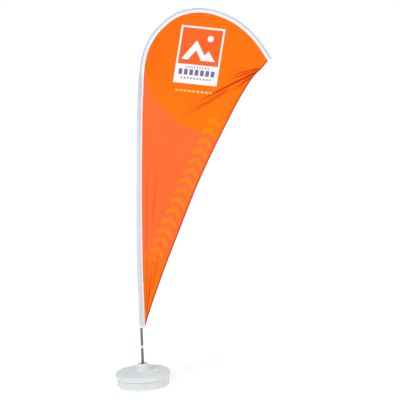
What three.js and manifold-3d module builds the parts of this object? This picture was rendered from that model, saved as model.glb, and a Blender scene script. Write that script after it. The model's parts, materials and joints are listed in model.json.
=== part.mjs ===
// Teardrop flag: a water-filled round base, a steel post with a turning spindle, a mast of two
// aluminium tubes and two fibreglass rods, and a sewn flag that slides over the mast.
// Millimetres, +Z up. The origin is the middle of the base's underside, on the spindle's axis.
// The flag lies in the plane Y = 0 and flies towards +X.
import * as THREE from 'three';
import { mergeVertices } from 'three/addons/utils/BufferGeometryUtils.js';
import Module from 'manifold-3d';

const wasm = await Module();
wasm.setup();

// ---- Driving dimensions -------------------------------------------------------------------

const GAP = 0.3; // between pieces that touch
const ROUND = 24; // sides of small turned pieces
const ROD_SIDES = 16;
const DISC_SIDES = 56; // sides of the base
const CHAMFER = 1.5;

// Base tank: a tub and a lid that overhangs it
const LID_RADIUS = 200;
const LID_SHOULDER = 22; // width of the lid's rounded edge
const LID_SHOULDER_DROP = 17.6;
const TANK_HEIGHT = 97;
const TANK_WALL = 4;
const SKIRT_WALL = 6;
const SKIRT_DEPTH = 35; // from the lid's top down to the underside of its skirt
const SKIRT_FIT = 0.8; // between the skirt and the tub's lip
const LIP_HEIGHT = 20; // how far the tub's lip stands up inside the skirt
const TUB_TAPER = 6; // how much narrower the tub is at its foot than under the skirt
const FOOT_ROUND = 10;
const RIB_COUNT = 3;
const RIB_START = 25;
const RIB_PITCH = 13;
const RIB_WIDTH = 6;
const RIB_DEPTH = 1.6;
const WATER_LEVEL_DROP = 6; // of the water below the lid

// Hub that rises from the middle of the lid and holds the post
const HUB_HEIGHT = 55;
const HUB_RIM = 24;
const HUB_ROUND = 7; // of the rim's outer edge
const HUB_ROUND_CUT = 0.3; // how far that edge is cut back, as a share of its round
const HUB_WAIST = 8; // how much wider the hub is at its waist than at its rim
const HUB_WAIST_DROP = 30;
const HUB_FLARE = 24; // how much wider it is at its foot than at its waist
const HUB_FLARE_RISE = 6;
const HUB_RECESS_DEPTH = 6;
const BOSS_WALL = 9;
const BOSS_DEPTH = 27; // below the lid's top

// Filler opening and its screw cap
const FILLER_X = 100;
const FILLER_Y = -33;
const FILLER_BORE_RADIUS = 11;
const NECK_WALL = 3;
const NECK_HEIGHT = 8;
const CAP_FIT = 0.5;
const CAP_WALL = 2.6;
const CAP_CROWN = 3.2;
const CAP_FLUTES = 20;
const CAP_FLUTE_DEPTH = 0.7;
const GASKET_THICKNESS = 1.4;

// Post, its stud and lock nut
const POST_RADIUS = 9.5;
const POST_WALL = 1.8;
const POST_RISE = 110; // of the post's top above the hub
const STUD_RADIUS = 8;
const STUD_DEPTH = 42; // of the stud below the nut
const STUD_PLUG_LENGTH = 30;
const INSERT_WALL = 5.5;
const INSERT_EXTRA = 4; // of the insert below the stud
const NUT_HEIGHT = 10;
const NUT_WALL = 7; // from its thread to its corners
const NUT_ROOM = 4; // between the nut's corners and the hub's rim

// Spindle that turns in the post and carries the mast
const BEARING_WALL = 2.1;
const BEARING_LENGTH = 12;
const BEARING_SPACING = 45;
const CLIP_THICKNESS = 1.4;
const CLIP_GROOVE_DEPTH = 0.8;
const CLIP_OPENING = Math.PI / 3;
const JOURNAL_TAIL = 7;
const THRUST_WASHER_THICKNESS = 1.2;
const COLLAR_RADIUS = 10;
const COLLAR_HEIGHT = 16.5;
const PIN_LENGTH = 140;

// Mast tubes and rods
const TUBE_RADIUS = 9.5;
const TUBE_WALL = 1.5;
const TUBE_LENGTH = 975;
const BUSH_WALL = 1.4;
const BUSH_FLANGE = 2.3;
const BUSH_LENGTH = 30;
const GUIDE_BUSH_LENGTH = 20;
const SPIGOT_WALL = 1.5;
const SPIGOT_REACH = 70; // into each tube
const REDUCER_FLANGE = 4;
const REDUCER_REACH = 55;
const ROD_RADIUS = 4.75;
const TIP_ROD_RADIUS = 3.75;
const LOWER_ROD_LENGTH = 640;
const FERRULE_WALL = 1.4;
const FERRULE_LENGTH = 70;
const END_CAP_LENGTH = 22;
const END_CAP_WALL = 1.5;

// Shape of the mast, from its foot: upright, then leaning, then bent over in a crown
const UPRIGHT_LENGTH = 570;
const LEAN_MIDDLE = [16, 1170];
const LEAN_UPPER = [44, 1750];
const CROWN_FOOT = [56, 1900];
const CROWN_REACH = 966;
const CROWN_RISE = 544;
// The crown's curve, as shares of its reach and its rise
const CROWN_CURVE = [
  [0, 0], [0.005, 0.129], [0.036, 0.421], [0.102, 0.654], [0.184, 0.812], [0.284, 0.936],
  [0.374, 0.987], [0.464, 1], [0.552, 0.981], [0.641, 0.928], [0.729, 0.849], [0.816, 0.733],
  [0.903, 0.565], [1, 0.294],
];

// Sewn flag
const FABRIC = 1.2; // wall of the pole pocket
const POCKET_SLACK = 1.2; // between the tube and the pocket
const SEAM_ALLOWANCE = 5; // of the pocket's seam beyond its round part
const SEAM_THICKNESS = 3;
const SLEEVE_START = 131; // of the pocket's lower end above the mast's foot
const BAND_WIDTH = 10; // between the pocket's seam and the printed panel
const BAND_THICKNESS = 1.6;
const PANEL_THICKNESS = 1;
const PANEL_TAIL = 4; // from the sleeve's lower end to the panel's lowest point
const HEM_WIDTH = 9;
const HEM_THICKNESS = 2;
const TIP_STITCH = 3;
const EYELET_RADIUS = 3.6;
const EYELET_HOLE_RADIUS = 2;
const EYELET_HEIGHT = 10; // above the band's lower end
const EYELET_LIP = 0.5; // proud of the cloth on each side
// The free edge hangs in from the straight line between tip and tail: [share of the line, sag]
const FREE_EDGE_SAG = [
  [0.03, 16], [0.07, 46], [0.15, 70], [0.27, 83], [0.4, 89], [0.5, 86], [0.64, 69], [0.78, 50],
  [0.92, 22],
];
const EDGE_STEPS = 48;

// Where the pieces on the mast are bent
const STATION_STEP = 5;
const STATION_TURN = Math.PI / 45;
const STATION_SPAN = 240;

// ---- Sizes that follow from them ----------------------------------------------------------

const skirtBottom = TANK_HEIGHT - SKIRT_DEPTH;
const skirtBore = LID_RADIUS - SKIRT_WALL;
const lipRadius = skirtBore - SKIRT_FIT;
const lipTop = skirtBottom + LIP_HEIGHT;
const footRadius = lipRadius - TUB_TAPER;
const lidUnderside = TANK_HEIGHT - TANK_WALL;
const hubTop = TANK_HEIGHT + HUB_HEIGHT;
const recessFloor = hubTop - HUB_RECESS_DEPTH;
const nutRadius = STUD_RADIUS + NUT_WALL;
const recessRadius = nutRadius + NUT_ROOM;
const hubRadius = recessRadius + HUB_RIM;
const waistRadius = hubRadius + HUB_WAIST;
const hubFootRadius = waistRadius + HUB_FLARE;
const hubRoof = hubTop - HUB_ROUND - TANK_WALL;
const rimCut = HUB_ROUND_CUT * HUB_ROUND;
const bossBottom = TANK_HEIGHT - BOSS_DEPTH;
const studBottom = recessFloor - STUD_DEPTH;
const insertRadius = STUD_RADIUS + GAP + INSERT_WALL;
const insertBore = insertRadius + GAP;
const bossRadius = insertBore + BOSS_WALL;
const neckTop = TANK_HEIGHT + NECK_HEIGHT;
const neckRadius = FILLER_BORE_RADIUS + NECK_WALL;
const gasketBottom = neckTop + GAP;
const capCeiling = gasketBottom + GASKET_THICKNESS + GAP;

const postBottom = recessFloor + NUT_HEIGHT + 2 * GAP;
const postTop = hubTop + POST_RISE;
const postBore = POST_RADIUS - POST_WALL;
const bearingRadius = postBore - GAP;
const journalRadius = bearingRadius - BEARING_WALL - GAP;
const lowerBearingTop = postTop - BEARING_SPACING;
const clipTop = lowerBearingTop - BEARING_LENGTH - GAP;
const clipBottom = clipTop - CLIP_THICKNESS;
const grooveRadius = journalRadius - CLIP_GROOVE_DEPTH;
const washerBottom = postTop + GAP;
const collarBottom = washerBottom + THRUST_WASHER_THICKNESS + GAP;
const collarTop = collarBottom + COLLAR_HEIGHT;

// Heights above are from the floor; these are distances along the mast from its foot
const mastBottom = collarTop + GAP;
const tubeBore = TUBE_RADIUS - TUBE_WALL;
const spigotRadius = tubeBore - GAP;
const bushBore = spigotRadius - BUSH_WALL;
const pinRadius = bushBore - GAP;
const tubeStart = BUSH_FLANGE + GAP;
const tubeJoint = tubeStart + TUBE_LENGTH;
const upperTubeStart = tubeJoint + GAP;
const tubeEnd = upperTubeStart + TUBE_LENGTH;
const reducerStart = tubeEnd + GAP;
const rodStart = reducerStart + REDUCER_FLANGE - REDUCER_REACH;
const rodJoint = rodStart + LOWER_ROD_LENGTH;

// Distances from the mast's axis towards the flag
const pocketBore = TUBE_RADIUS + POCKET_SLACK;
const pocketReach = pocketBore + FABRIC + SEAM_ALLOWANCE;
const panelEdge = pocketReach + BAND_WIDTH;
const bandInner = pocketReach + GAP;
const bandOuter = panelEdge - GAP;

// ---- The mast's curve ---------------------------------------------------------------------

const mastCurve = new THREE.CatmullRomCurve3(
  [
    [0, 0],
    [0, UPRIGHT_LENGTH / 2],
    [0, UPRIGHT_LENGTH],
    LEAN_MIDDLE,
    LEAN_UPPER,
    ...CROWN_CURVE.map(([x, z]) => [CROWN_FOOT[0] + x * CROWN_REACH, CROWN_FOOT[1] + z * CROWN_RISE]),
  ].map(([x, z]) => new THREE.Vector3(x, 0, mastBottom + z)),
  false,
  'centripetal',
);
mastCurve.arcLengthDivisions = 1200;
const mastLength = mastCurve.getLength();
const tipRodEnd = mastLength - END_CAP_WALL - GAP;

// Stations along the mast, close together where it bends; every piece on the mast bends only there
const stations = [0];
let lastTangent = mastCurve.getTangentAt(0);
for (let distance = STATION_STEP; distance < mastLength - STATION_STEP; distance += STATION_STEP) {
  const tangent = mastCurve.getTangentAt(distance / mastLength);
  const span = distance - stations.at(-1);
  if (tangent.angleTo(lastTangent) > STATION_TURN || span > STATION_SPAN) {
    stations.push(distance);
    lastTangent = tangent;
  }
}
stations.push(mastLength);

function stationPoint(index, across) {
  const share = stations[index] / mastLength;
  const tangent = mastCurve.getTangentAt(share);
  const inward = new THREE.Vector3(tangent.z, 0, -tangent.x);
  return mastCurve.getPointAt(share).addScaledVector(inward, across);
}

// A point at a distance along the mast, moved towards the flag by `across`
function mastPoint(distance, across = 0) {
  const passed = stations.filter((station) => station <= distance).length;
  const index = Math.min(Math.max(passed - 1, 0), stations.length - 2);
  const share = (distance - stations[index]) / (stations[index + 1] - stations[index]);
  return stationPoint(index, across).lerp(stationPoint(index + 1, across), share);
}

function stationsBetween(start, end) {
  return stations.filter((station) => station > start + GAP && station < end - GAP);
}

// ---- Solids -------------------------------------------------------------------------------

function closed(geometry) {
  const bare = geometry.index ? geometry.clone() : geometry;
  bare.deleteAttribute('normal');
  bare.deleteAttribute('uv');
  return mergeVertices(bare, 1e-3);
}

// A solid turned about Z; the profile runs up its outside and down its inside, as [radius, height]
function turned(profile, sides = ROUND) {
  const points = profile.map(([radius, height]) => new THREE.Vector2(radius, height));
  return closed(new THREE.LatheGeometry(points, sides).rotateX(Math.PI / 2));
}

function ring(outer, inner, bottom, top, sides = ROUND) {
  return turned(
    [[inner, bottom], [outer, bottom], [outer, top], [inner, top], [inner, bottom]],
    sides,
  );
}

function prism(shape, bottom, top, curveSegments = 12) {
  const options = { depth: top - bottom, bevelEnabled: false, curveSegments };
  return closed(new THREE.ExtrudeGeometry(shape, options).translate(0, 0, bottom));
}

// Bends a solid made about Z onto the mast, with its z as distance along the mast
function onMast(geometry, start) {
  const place = geometry.attributes.position;
  for (let i = 0; i < place.count; i += 1) {
    const point = mastPoint(start + place.getZ(i), place.getX(i));
    place.setXYZ(i, point.x, place.getY(i), point.z);
  }
  return geometry;
}

// A solid turned about the mast from a profile of [radius, distance from start], bent at stations
function turnedOnMast(profile, start, sides = ROUND) {
  const bent = [profile[0]];
  for (let i = 1; i < profile.length; i += 1) {
    const [fromRadius, from] = profile[i - 1];
    const [toRadius, to] = profile[i];
    const between = stationsBetween(start + Math.min(from, to), start + Math.max(from, to));
    for (const station of to > from ? between : between.reverse()) {
      const height = station - start;
      const share = (height - from) / (to - from);
      bent.push([fromRadius + share * (toRadius - fromRadius), height]);
    }
    bent.push(profile[i]);
  }
  return onMast(turned(bent, sides), start);
}

function tubeOnMast(outer, inner, start, length) {
  const profile = [[inner, 0], [outer, 0], [outer, length], [inner, length], [inner, 0]];
  return turnedOnMast(profile, start);
}

function rodOnMast(radius, start, length) {
  return turnedOnMast([[0, 0], [radius, 0], [radius, length], [0, length]], start, ROD_SIDES);
}

// A long section extruded along the mast, bent at stations
function extrudedOnMast(shape, start, end) {
  const rings = [start, ...stationsBetween(start, end), end];
  const steps = rings.length - 1;
  const options = { depth: steps, steps, bevelEnabled: false, curveSegments: 8 };
  const solid = closed(new THREE.ExtrudeGeometry(shape, options));
  const place = solid.attributes.position;
  for (let i = 0; i < place.count; i += 1) {
    place.setZ(i, rings[Math.round(place.getZ(i))] - start);
  }
  return onMast(solid, start);
}

function toManifold(geometry) {
  return new wasm.Manifold(new wasm.Mesh({
    numProp: 3,
    vertProperties: new Float32Array(geometry.attributes.position.array),
    triVerts: new Uint32Array(geometry.index.array),
  }));
}

function toGeometry(manifold) {
  const { vertProperties, triVerts } = manifold.getMesh();
  const geometry = new THREE.BufferGeometry();
  geometry.setAttribute('position', new THREE.BufferAttribute(vertProperties, 3));
  geometry.setIndex(new THREE.BufferAttribute(triVerts, 1));
  return geometry;
}

// ---- Base ---------------------------------------------------------------------------------

function tubRadius(height) {
  return footRadius + (TUB_TAPER * height) / skirtBottom;
}

function tankBottom() {
  const outside = [[footRadius - FOOT_ROUND, 0]];
  for (let i = 1; i <= 4; i += 1) {
    const angle = (i * Math.PI) / 8;
    outside.push([
      footRadius - FOOT_ROUND + FOOT_ROUND * Math.sin(angle),
      FOOT_ROUND - FOOT_ROUND * Math.cos(angle),
    ]);
  }
  for (let i = 0; i < RIB_COUNT; i += 1) {
    const middle = RIB_START + i * RIB_PITCH;
    const groove = tubRadius(middle) - RIB_DEPTH;
    outside.push([tubRadius(middle - RIB_WIDTH / 2), middle - RIB_WIDTH / 2]);
    outside.push([groove, middle - RIB_WIDTH / 6], [groove, middle + RIB_WIDTH / 6]);
    outside.push([tubRadius(middle + RIB_WIDTH / 2), middle + RIB_WIDTH / 2]);
  }
  return turned(
    [
      [0, 0],
      ...outside,
      [lipRadius, skirtBottom - CHAMFER],
      [lipRadius, lipTop],
      [lipRadius - TANK_WALL, lipTop],
      [footRadius - TANK_WALL, FOOT_ROUND + TANK_WALL],
      [footRadius - FOOT_ROUND, TANK_WALL],
      [0, TANK_WALL],
    ],
    DISC_SIDES,
  );
}

function tankTop() {
  const shoulder = LID_RADIUS - LID_SHOULDER;
  const outside = [];
  for (let i = 0; i <= 5; i += 1) {
    const angle = (i * Math.PI) / 10;
    outside.push([
      shoulder + LID_SHOULDER * Math.cos(angle),
      TANK_HEIGHT - LID_SHOULDER_DROP * (1 - Math.sin(angle)),
    ]);
  }
  const lid = turned(
    [
      [insertBore, bossBottom],
      [bossRadius, bossBottom],
      [bossRadius, hubRoof],
      [hubRadius - TANK_WALL, hubRoof],
      [waistRadius - TANK_WALL, hubTop - HUB_WAIST_DROP],
      [hubFootRadius - HUB_FLARE / 2 - TANK_WALL, TANK_HEIGHT],
      [hubFootRadius - TANK_WALL, lidUnderside],
      [shoulder, lidUnderside],
      [skirtBore, lipTop + GAP],
      [skirtBore, skirtBottom],
      [LID_RADIUS - CHAMFER, skirtBottom],
      ...outside,
      [hubFootRadius, TANK_HEIGHT],
      [hubFootRadius - HUB_FLARE / 2, TANK_HEIGHT + HUB_FLARE_RISE],
      [waistRadius, hubTop - HUB_WAIST_DROP],
      [hubRadius, hubTop - HUB_ROUND],
      [hubRadius - rimCut, hubTop - rimCut],
      [hubRadius - HUB_ROUND, hubTop],
      [recessRadius + CHAMFER, hubTop],
      [recessRadius, recessFloor],
      [insertBore, recessFloor],
      [insertBore, bossBottom],
    ],
    DISC_SIDES,
  );
  const neck = ring(neckRadius, FILLER_BORE_RADIUS / 2, lidUnderside + TANK_WALL / 2, neckTop);
  const past = neckTop + NECK_HEIGHT;
  const below = lidUnderside - NECK_HEIGHT;
  const bore = turned([
    [0, below],
    [FILLER_BORE_RADIUS, below],
    [FILLER_BORE_RADIUS, past],
    [0, past],
  ]);
  const [neckSolid, boreSolid] = [neck, bore].map((geometry) => (
    toManifold(geometry.translate(FILLER_X, FILLER_Y, 0))
  ));
  return toGeometry(toManifold(lid).add(neckSolid).subtract(boreSolid));
}

function waterBallast() {
  const bottom = TANK_WALL + GAP;
  const top = lidUnderside - WATER_LEVEL_DROP;
  const outer = footRadius - TANK_WALL - 2 * CHAMFER;
  return turned(
    [
      [0, bottom],
      [footRadius - FOOT_ROUND - CHAMFER, bottom],
      [outer, FOOT_ROUND + TANK_WALL],
      [outer, skirtBottom],
      [outer - FOOT_ROUND, top],
      [bossRadius + GAP, top],
      [bossRadius + GAP, bossBottom - GAP],
      [0, bossBottom - GAP],
    ],
    DISC_SIDES,
  );
}

function threadedInsert() {
  return ring(insertRadius, STUD_RADIUS + GAP, studBottom - INSERT_EXTRA, recessFloor);
}

function postStud() {
  const plugTop = postBottom + STUD_PLUG_LENGTH;
  return turned([
    [0, studBottom],
    [STUD_RADIUS - CHAMFER, studBottom],
    [STUD_RADIUS, studBottom + CHAMFER],
    [STUD_RADIUS, postBottom - GAP],
    [bearingRadius, postBottom - GAP],
    [bearingRadius, plugTop - CHAMFER],
    [bearingRadius - CHAMFER, plugTop],
    [0, plugTop],
  ]);
}

function postNut() {
  const corners = Array.from({ length: 6 }, (_, i) => new THREE.Vector2(
    nutRadius * Math.cos((i * Math.PI) / 3),
    nutRadius * Math.sin((i * Math.PI) / 3),
  ));
  const hexagon = new THREE.Shape(corners);
  hexagon.holes.push(new THREE.Path().absarc(0, 0, STUD_RADIUS + GAP, 0, 2 * Math.PI, true));
  return prism(hexagon, recessFloor + GAP, recessFloor + GAP + NUT_HEIGHT);
}

function post() {
  return ring(POST_RADIUS, postBore, postBottom, postTop);
}

function bearing(top) {
  return ring(bearingRadius, journalRadius + GAP, top - BEARING_LENGTH, top);
}

// ---- Spindle ------------------------------------------------------------------------------

function spindle() {
  const tail = clipBottom - GAP - JOURNAL_TAIL;
  const pinTop = mastBottom + PIN_LENGTH;
  return turned([
    [0, tail],
    [journalRadius - CHAMFER, tail],
    [journalRadius, tail + CHAMFER],
    [journalRadius, clipBottom - GAP],
    [grooveRadius, clipBottom - GAP],
    [grooveRadius, clipTop + GAP],
    [journalRadius, clipTop + GAP],
    [journalRadius, collarBottom],
    [pinRadius, collarBottom],
    [pinRadius, pinTop - CHAMFER],
    [pinRadius - CHAMFER, pinTop],
    [0, pinTop],
  ]);
}

function retainingClip() {
  const from = CLIP_OPENING / 2;
  const to = 2 * Math.PI - from;
  const shape = new THREE.Shape();
  shape.absarc(0, 0, bearingRadius, from, to, false);
  shape.absarc(0, 0, grooveRadius + GAP, to, from, true);
  return prism(shape, clipBottom, clipTop);
}

function thrustWasher() {
  return ring(POST_RADIUS, journalRadius + GAP, washerBottom, collarBottom - GAP);
}

function spindleCollar() {
  return turned([
    [pinRadius + GAP, collarBottom],
    [COLLAR_RADIUS - CHAMFER, collarBottom],
    [COLLAR_RADIUS, collarBottom + CHAMFER],
    [COLLAR_RADIUS, collarTop - CHAMFER],
    [COLLAR_RADIUS - CHAMFER, collarTop],
    [pinRadius + GAP, collarTop],
    [pinRadius + GAP, collarBottom],
  ]);
}

// ---- Mast ---------------------------------------------------------------------------------

function mastBush() {
  const top = tubeStart + BUSH_LENGTH;
  return turnedOnMast([
    [bushBore, 0],
    [TUBE_RADIUS, 0],
    [TUBE_RADIUS, BUSH_FLANGE],
    [spigotRadius, BUSH_FLANGE],
    [spigotRadius, top],
    [bushBore, top],
    [bushBore, 0],
  ], 0);
}

function guideBush() {
  const start = PIN_LENGTH - GUIDE_BUSH_LENGTH - CHAMFER;
  return tubeOnMast(spigotRadius, bushBore, start, GUIDE_BUSH_LENGTH);
}

function mastTube(start) {
  return tubeOnMast(TUBE_RADIUS, tubeBore, start, TUBE_LENGTH);
}

function jointSpigot() {
  const start = tubeJoint - SPIGOT_REACH;
  return tubeOnMast(spigotRadius, spigotRadius - SPIGOT_WALL, start, 2 * SPIGOT_REACH);
}

function rodReducer() {
  const bore = ROD_RADIUS + GAP;
  const inTube = REDUCER_REACH - REDUCER_FLANGE;
  return turnedOnMast([
    [bore, 0],
    [spigotRadius, 0],
    [spigotRadius, inTube],
    [TUBE_RADIUS, inTube],
    [TUBE_RADIUS, inTube + REDUCER_FLANGE / 2],
    [bore + REDUCER_FLANGE / 4, REDUCER_REACH],
    [bore, REDUCER_REACH],
    [bore, 0],
  ], reducerStart - inTube);
}

function rodLower() {
  return rodOnMast(ROD_RADIUS, rodStart, LOWER_ROD_LENGTH);
}

function rodTip() {
  return rodOnMast(TIP_ROD_RADIUS, rodJoint + GAP, tipRodEnd - rodJoint - GAP);
}

function rodFerrule() {
  const half = FERRULE_LENGTH / 2;
  const outer = ROD_RADIUS + GAP + FERRULE_WALL;
  const wide = ROD_RADIUS + GAP;
  const narrow = TIP_ROD_RADIUS + GAP;
  return turnedOnMast([
    [wide, 0],
    [outer, 0],
    [outer, FERRULE_LENGTH],
    [narrow, FERRULE_LENGTH],
    [narrow, half + GAP],
    [wide, half + GAP],
    [wide, 0],
  ], rodJoint - half);
}

function rodEndCap() {
  const bore = TIP_ROD_RADIUS + GAP;
  const outer = bore + END_CAP_WALL;
  return turnedOnMast([
    [bore, 0],
    [outer, 0],
    [outer, END_CAP_LENGTH - CHAMFER],
    [outer - CHAMFER, END_CAP_LENGTH],
    [0, END_CAP_LENGTH],
    [0, END_CAP_LENGTH - END_CAP_WALL],
    [bore, END_CAP_LENGTH - END_CAP_WALL],
    [bore, 0],
  ], mastLength - END_CAP_LENGTH);
}

// ---- Flag ---------------------------------------------------------------------------------

// Section of the pole pocket: round over the tube, drawn in to a seam on the flag's side
function pocketShape() {
  const outer = pocketBore + FABRIC;
  const side = Math.PI / 3;
  const shape = new THREE.Shape();
  shape.absarc(0, 0, outer, side, 2 * Math.PI - side, false);
  shape.lineTo(pocketReach, -SEAM_THICKNESS / 2);
  shape.lineTo(pocketReach, SEAM_THICKNESS / 2);
  shape.closePath();
  return shape;
}

function poleSleeve() {
  const shape = pocketShape();
  shape.holes.push(new THREE.Path().absarc(0, 0, pocketBore, 0, 2 * Math.PI, true));
  return extrudedOnMast(shape, SLEEVE_START, mastLength + GAP);
}

function tipPocket() {
  const start = mastLength + 2 * GAP;
  return extrudedOnMast(pocketShape(), start, start + TIP_STITCH);
}

function seamBand() {
  const section = new THREE.Shape()
    .moveTo(bandInner, -BAND_THICKNESS / 2)
    .lineTo(bandOuter, -BAND_THICKNESS / 2)
    .lineTo(bandOuter, BAND_THICKNESS / 2)
    .lineTo(bandInner, BAND_THICKNESS / 2);
  const band = toManifold(extrudedOnMast(section, SLEEVE_START, mastLength));
  const hole = eyeletSolid(EYELET_RADIUS + GAP, 0, 2 * BAND_THICKNESS);
  return toGeometry(band.subtract(toManifold(hole)));
}

// A disc or ring through the band's lower end, square to the cloth
function eyeletSolid(outer, inner, thickness) {
  const half = thickness / 2;
  const solid = inner > 0
    ? ring(outer, inner, -half, half)
    : turned([[0, -half], [outer, -half], [outer, half], [0, half]]);
  const middle = mastPoint(SLEEVE_START + EYELET_HEIGHT, (bandInner + bandOuter) / 2);
  return solid.rotateX(Math.PI / 2).translate(middle.x, 0, middle.z);
}

function tensionEyelet() {
  return eyeletSolid(EYELET_RADIUS, EYELET_HOLE_RADIUS, BAND_THICKNESS + 2 * EYELET_LIP);
}

const panelStart = SLEEVE_START + PANEL_TAIL;
const flagTip = mastPoint(mastLength, panelEdge);
const flagTail = mastPoint(panelStart, panelEdge);

// The free edge from tip to tail, moved in from its own line by `inset`
function freeEdge(inset = 0) {
  const line = flagTail.clone().sub(flagTip);
  const towardsMast = new THREE.Vector3(line.z, 0, -line.x).normalize();
  const point = (share, sag) => flagTip.clone().addScaledVector(line, share)
    .addScaledVector(towardsMast, sag);
  const points = [point(0, 0), ...FREE_EDGE_SAG.map(([share, sag]) => point(share, sag)), point(1, 0)];
  const curve = new THREE.CatmullRomCurve3(points, false, 'centripetal');
  return Array.from({ length: EDGE_STEPS + 1 }, (_, i) => {
    const tangent = curve.getTangentAt(i / EDGE_STEPS);
    const inward = new THREE.Vector3(tangent.z, 0, -tangent.x);
    const place = curve.getPointAt(i / EDGE_STEPS).addScaledVector(inward, inset);
    return new THREE.Vector2(place.x, place.z);
  });
}

function flatCloth(outline, thickness) {
  const cloth = prism(new THREE.Shape(outline), -thickness / 2, thickness / 2);
  return toManifold(cloth.rotateX(Math.PI / 2));
}

function clothOutline() {
  const alongMast = [panelStart, ...stationsBetween(panelStart, mastLength)].map((distance) => {
    const place = mastPoint(distance, panelEdge);
    return new THREE.Vector2(place.x, place.z);
  });
  return [...alongMast, ...freeEdge().slice(0, -1)];
}

// The same line drawn on past both of its ends
function runOn(line) {
  const past = (end, before) => end.clone().add(end.clone().sub(before).setLength(HEM_WIDTH));
  return [past(line[0], line[1]), ...line, past(line.at(-1), line.at(-2))];
}

function hemStrip(width, thickness) {
  const outline = [...runOn(freeEdge(-HEM_WIDTH)), ...runOn(freeEdge(width)).reverse()];
  return flatCloth(outline, thickness);
}

function flagPanel() {
  const cloth = flatCloth(clothOutline(), PANEL_THICKNESS);
  return toGeometry(cloth.subtract(hemStrip(HEM_WIDTH + GAP, 2 * PANEL_THICKNESS)));
}

function freeEdgeHem() {
  const cloth = flatCloth(clothOutline(), HEM_THICKNESS);
  return toGeometry(cloth.intersect(hemStrip(HEM_WIDTH, 2 * HEM_THICKNESS)));
}

// ---- Filler cap ---------------------------------------------------------------------------

function fillerCap() {
  const inner = neckRadius + CAP_FIT;
  const outer = inner + CAP_WALL;
  const bottom = TANK_HEIGHT + CHAMFER;
  const top = capCeiling + CAP_CROWN;
  const outline = Array.from({ length: CAP_FLUTES * 4 }, (_, i) => {
    const angle = (i * 2 * Math.PI) / (CAP_FLUTES * 4);
    const radius = outer + (CAP_FLUTE_DEPTH / 2) * Math.cos(CAP_FLUTES * angle);
    return new THREE.Vector2(radius * Math.cos(angle), radius * Math.sin(angle));
  });
  const body = toManifold(prism(new THREE.Shape(outline), bottom, top));
  const below = bottom - NECK_HEIGHT;
  const bore = toManifold(turned([[0, below], [inner, below], [inner, capCeiling], [0, capCeiling]]));
  return toGeometry(body.subtract(bore)).translate(FILLER_X, FILLER_Y, 0);
}

function capGasket() {
  return ring(neckRadius, FILLER_BORE_RADIUS, gasketBottom, gasketBottom + GASKET_THICKNESS)
    .translate(FILLER_X, FILLER_Y, 0);
}

// ---- Materials and assembly ---------------------------------------------------------------

const FINISHES = {
  tank: { color: 0xe3e7e8, roughness: 0.45, metalness: 0 },
  water: { color: 0xcfe0e6, roughness: 0.1, metalness: 0 },
  steel: { color: 0x8b9499, roughness: 0.35, metalness: 0.9 },
  brass: { color: 0xb8975a, roughness: 0.4, metalness: 0.9 },
  aluminium: { color: 0x9aa4a8, roughness: 0.35, metalness: 0.9 },
  nylon: { color: 0xf2f2ee, roughness: 0.5, metalness: 0 },
  fibreglass: { color: 0x3a3f46, roughness: 0.3, metalness: 0 },
  rubber: { color: 0x2c2c2c, roughness: 0.8, metalness: 0 },
  sleeveCloth: { color: 0xe8edf6, roughness: 0.85, metalness: 0 },
  flagCloth: { color: 0xff7410, roughness: 0.75, metalness: 0 },
  hemCloth: { color: 0xe25a14, roughness: 0.8, metalness: 0 },
};

const part = new THREE.Group();

function piece(name, geometry, finish) {
  geometry.computeVertexNormals();
  const mesh = new THREE.Mesh(geometry, new THREE.MeshStandardMaterial(FINISHES[finish]));
  mesh.name = name;
  part.add(mesh);
}

piece('tank_bottom', tankBottom(), 'tank');
piece('tank_top', tankTop(), 'tank');
piece('water_ballast', waterBallast(), 'water');
piece('threaded_insert', threadedInsert(), 'brass');
piece('post_stud', postStud(), 'steel');
piece('post_nut', postNut(), 'steel');
piece('post', post(), 'steel');
piece('bearing_lower', bearing(lowerBearingTop), 'nylon');
piece('bearing_upper', bearing(postTop), 'nylon');
piece('spindle', spindle(), 'steel');
piece('retaining_clip', retainingClip(), 'steel');
piece('thrust_washer', thrustWasher(), 'steel');
piece('spindle_collar', spindleCollar(), 'nylon');
piece('mast_bush', mastBush(), 'nylon');
piece('mast_guide_bush', guideBush(), 'nylon');
piece('mast_tube_lower', mastTube(tubeStart), 'aluminium');
piece('joint_spigot', jointSpigot(), 'aluminium');
piece('mast_tube_upper', mastTube(upperTubeStart), 'aluminium');
piece('rod_reducer', rodReducer(), 'nylon');
piece('rod_lower', rodLower(), 'fibreglass');
piece('rod_ferrule', rodFerrule(), 'steel');
piece('rod_tip', rodTip(), 'fibreglass');
piece('rod_end_cap', rodEndCap(), 'rubber');
piece('pole_sleeve', poleSleeve(), 'sleeveCloth');
piece('tip_pocket', tipPocket(), 'sleeveCloth');
piece('seam_band', seamBand(), 'sleeveCloth');
piece('tension_eyelet', tensionEyelet(), 'brass');
piece('flag_panel', flagPanel(), 'flagCloth');
piece('free_edge_hem', freeEdgeHem(), 'hemCloth');
piece('filler_cap', fillerCap(), 'nylon');
piece('cap_gasket', capGasket(), 'rubber');

export default part;
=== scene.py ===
"""Looks of the teardrop flag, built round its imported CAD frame.

Metres, +Z up. The flag lies in the plane Y = 0 and flies towards +X; its printed front faces -Y.
Lengths named below are in millimetres and become metres where they are used.
"""

import json
import math

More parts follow.
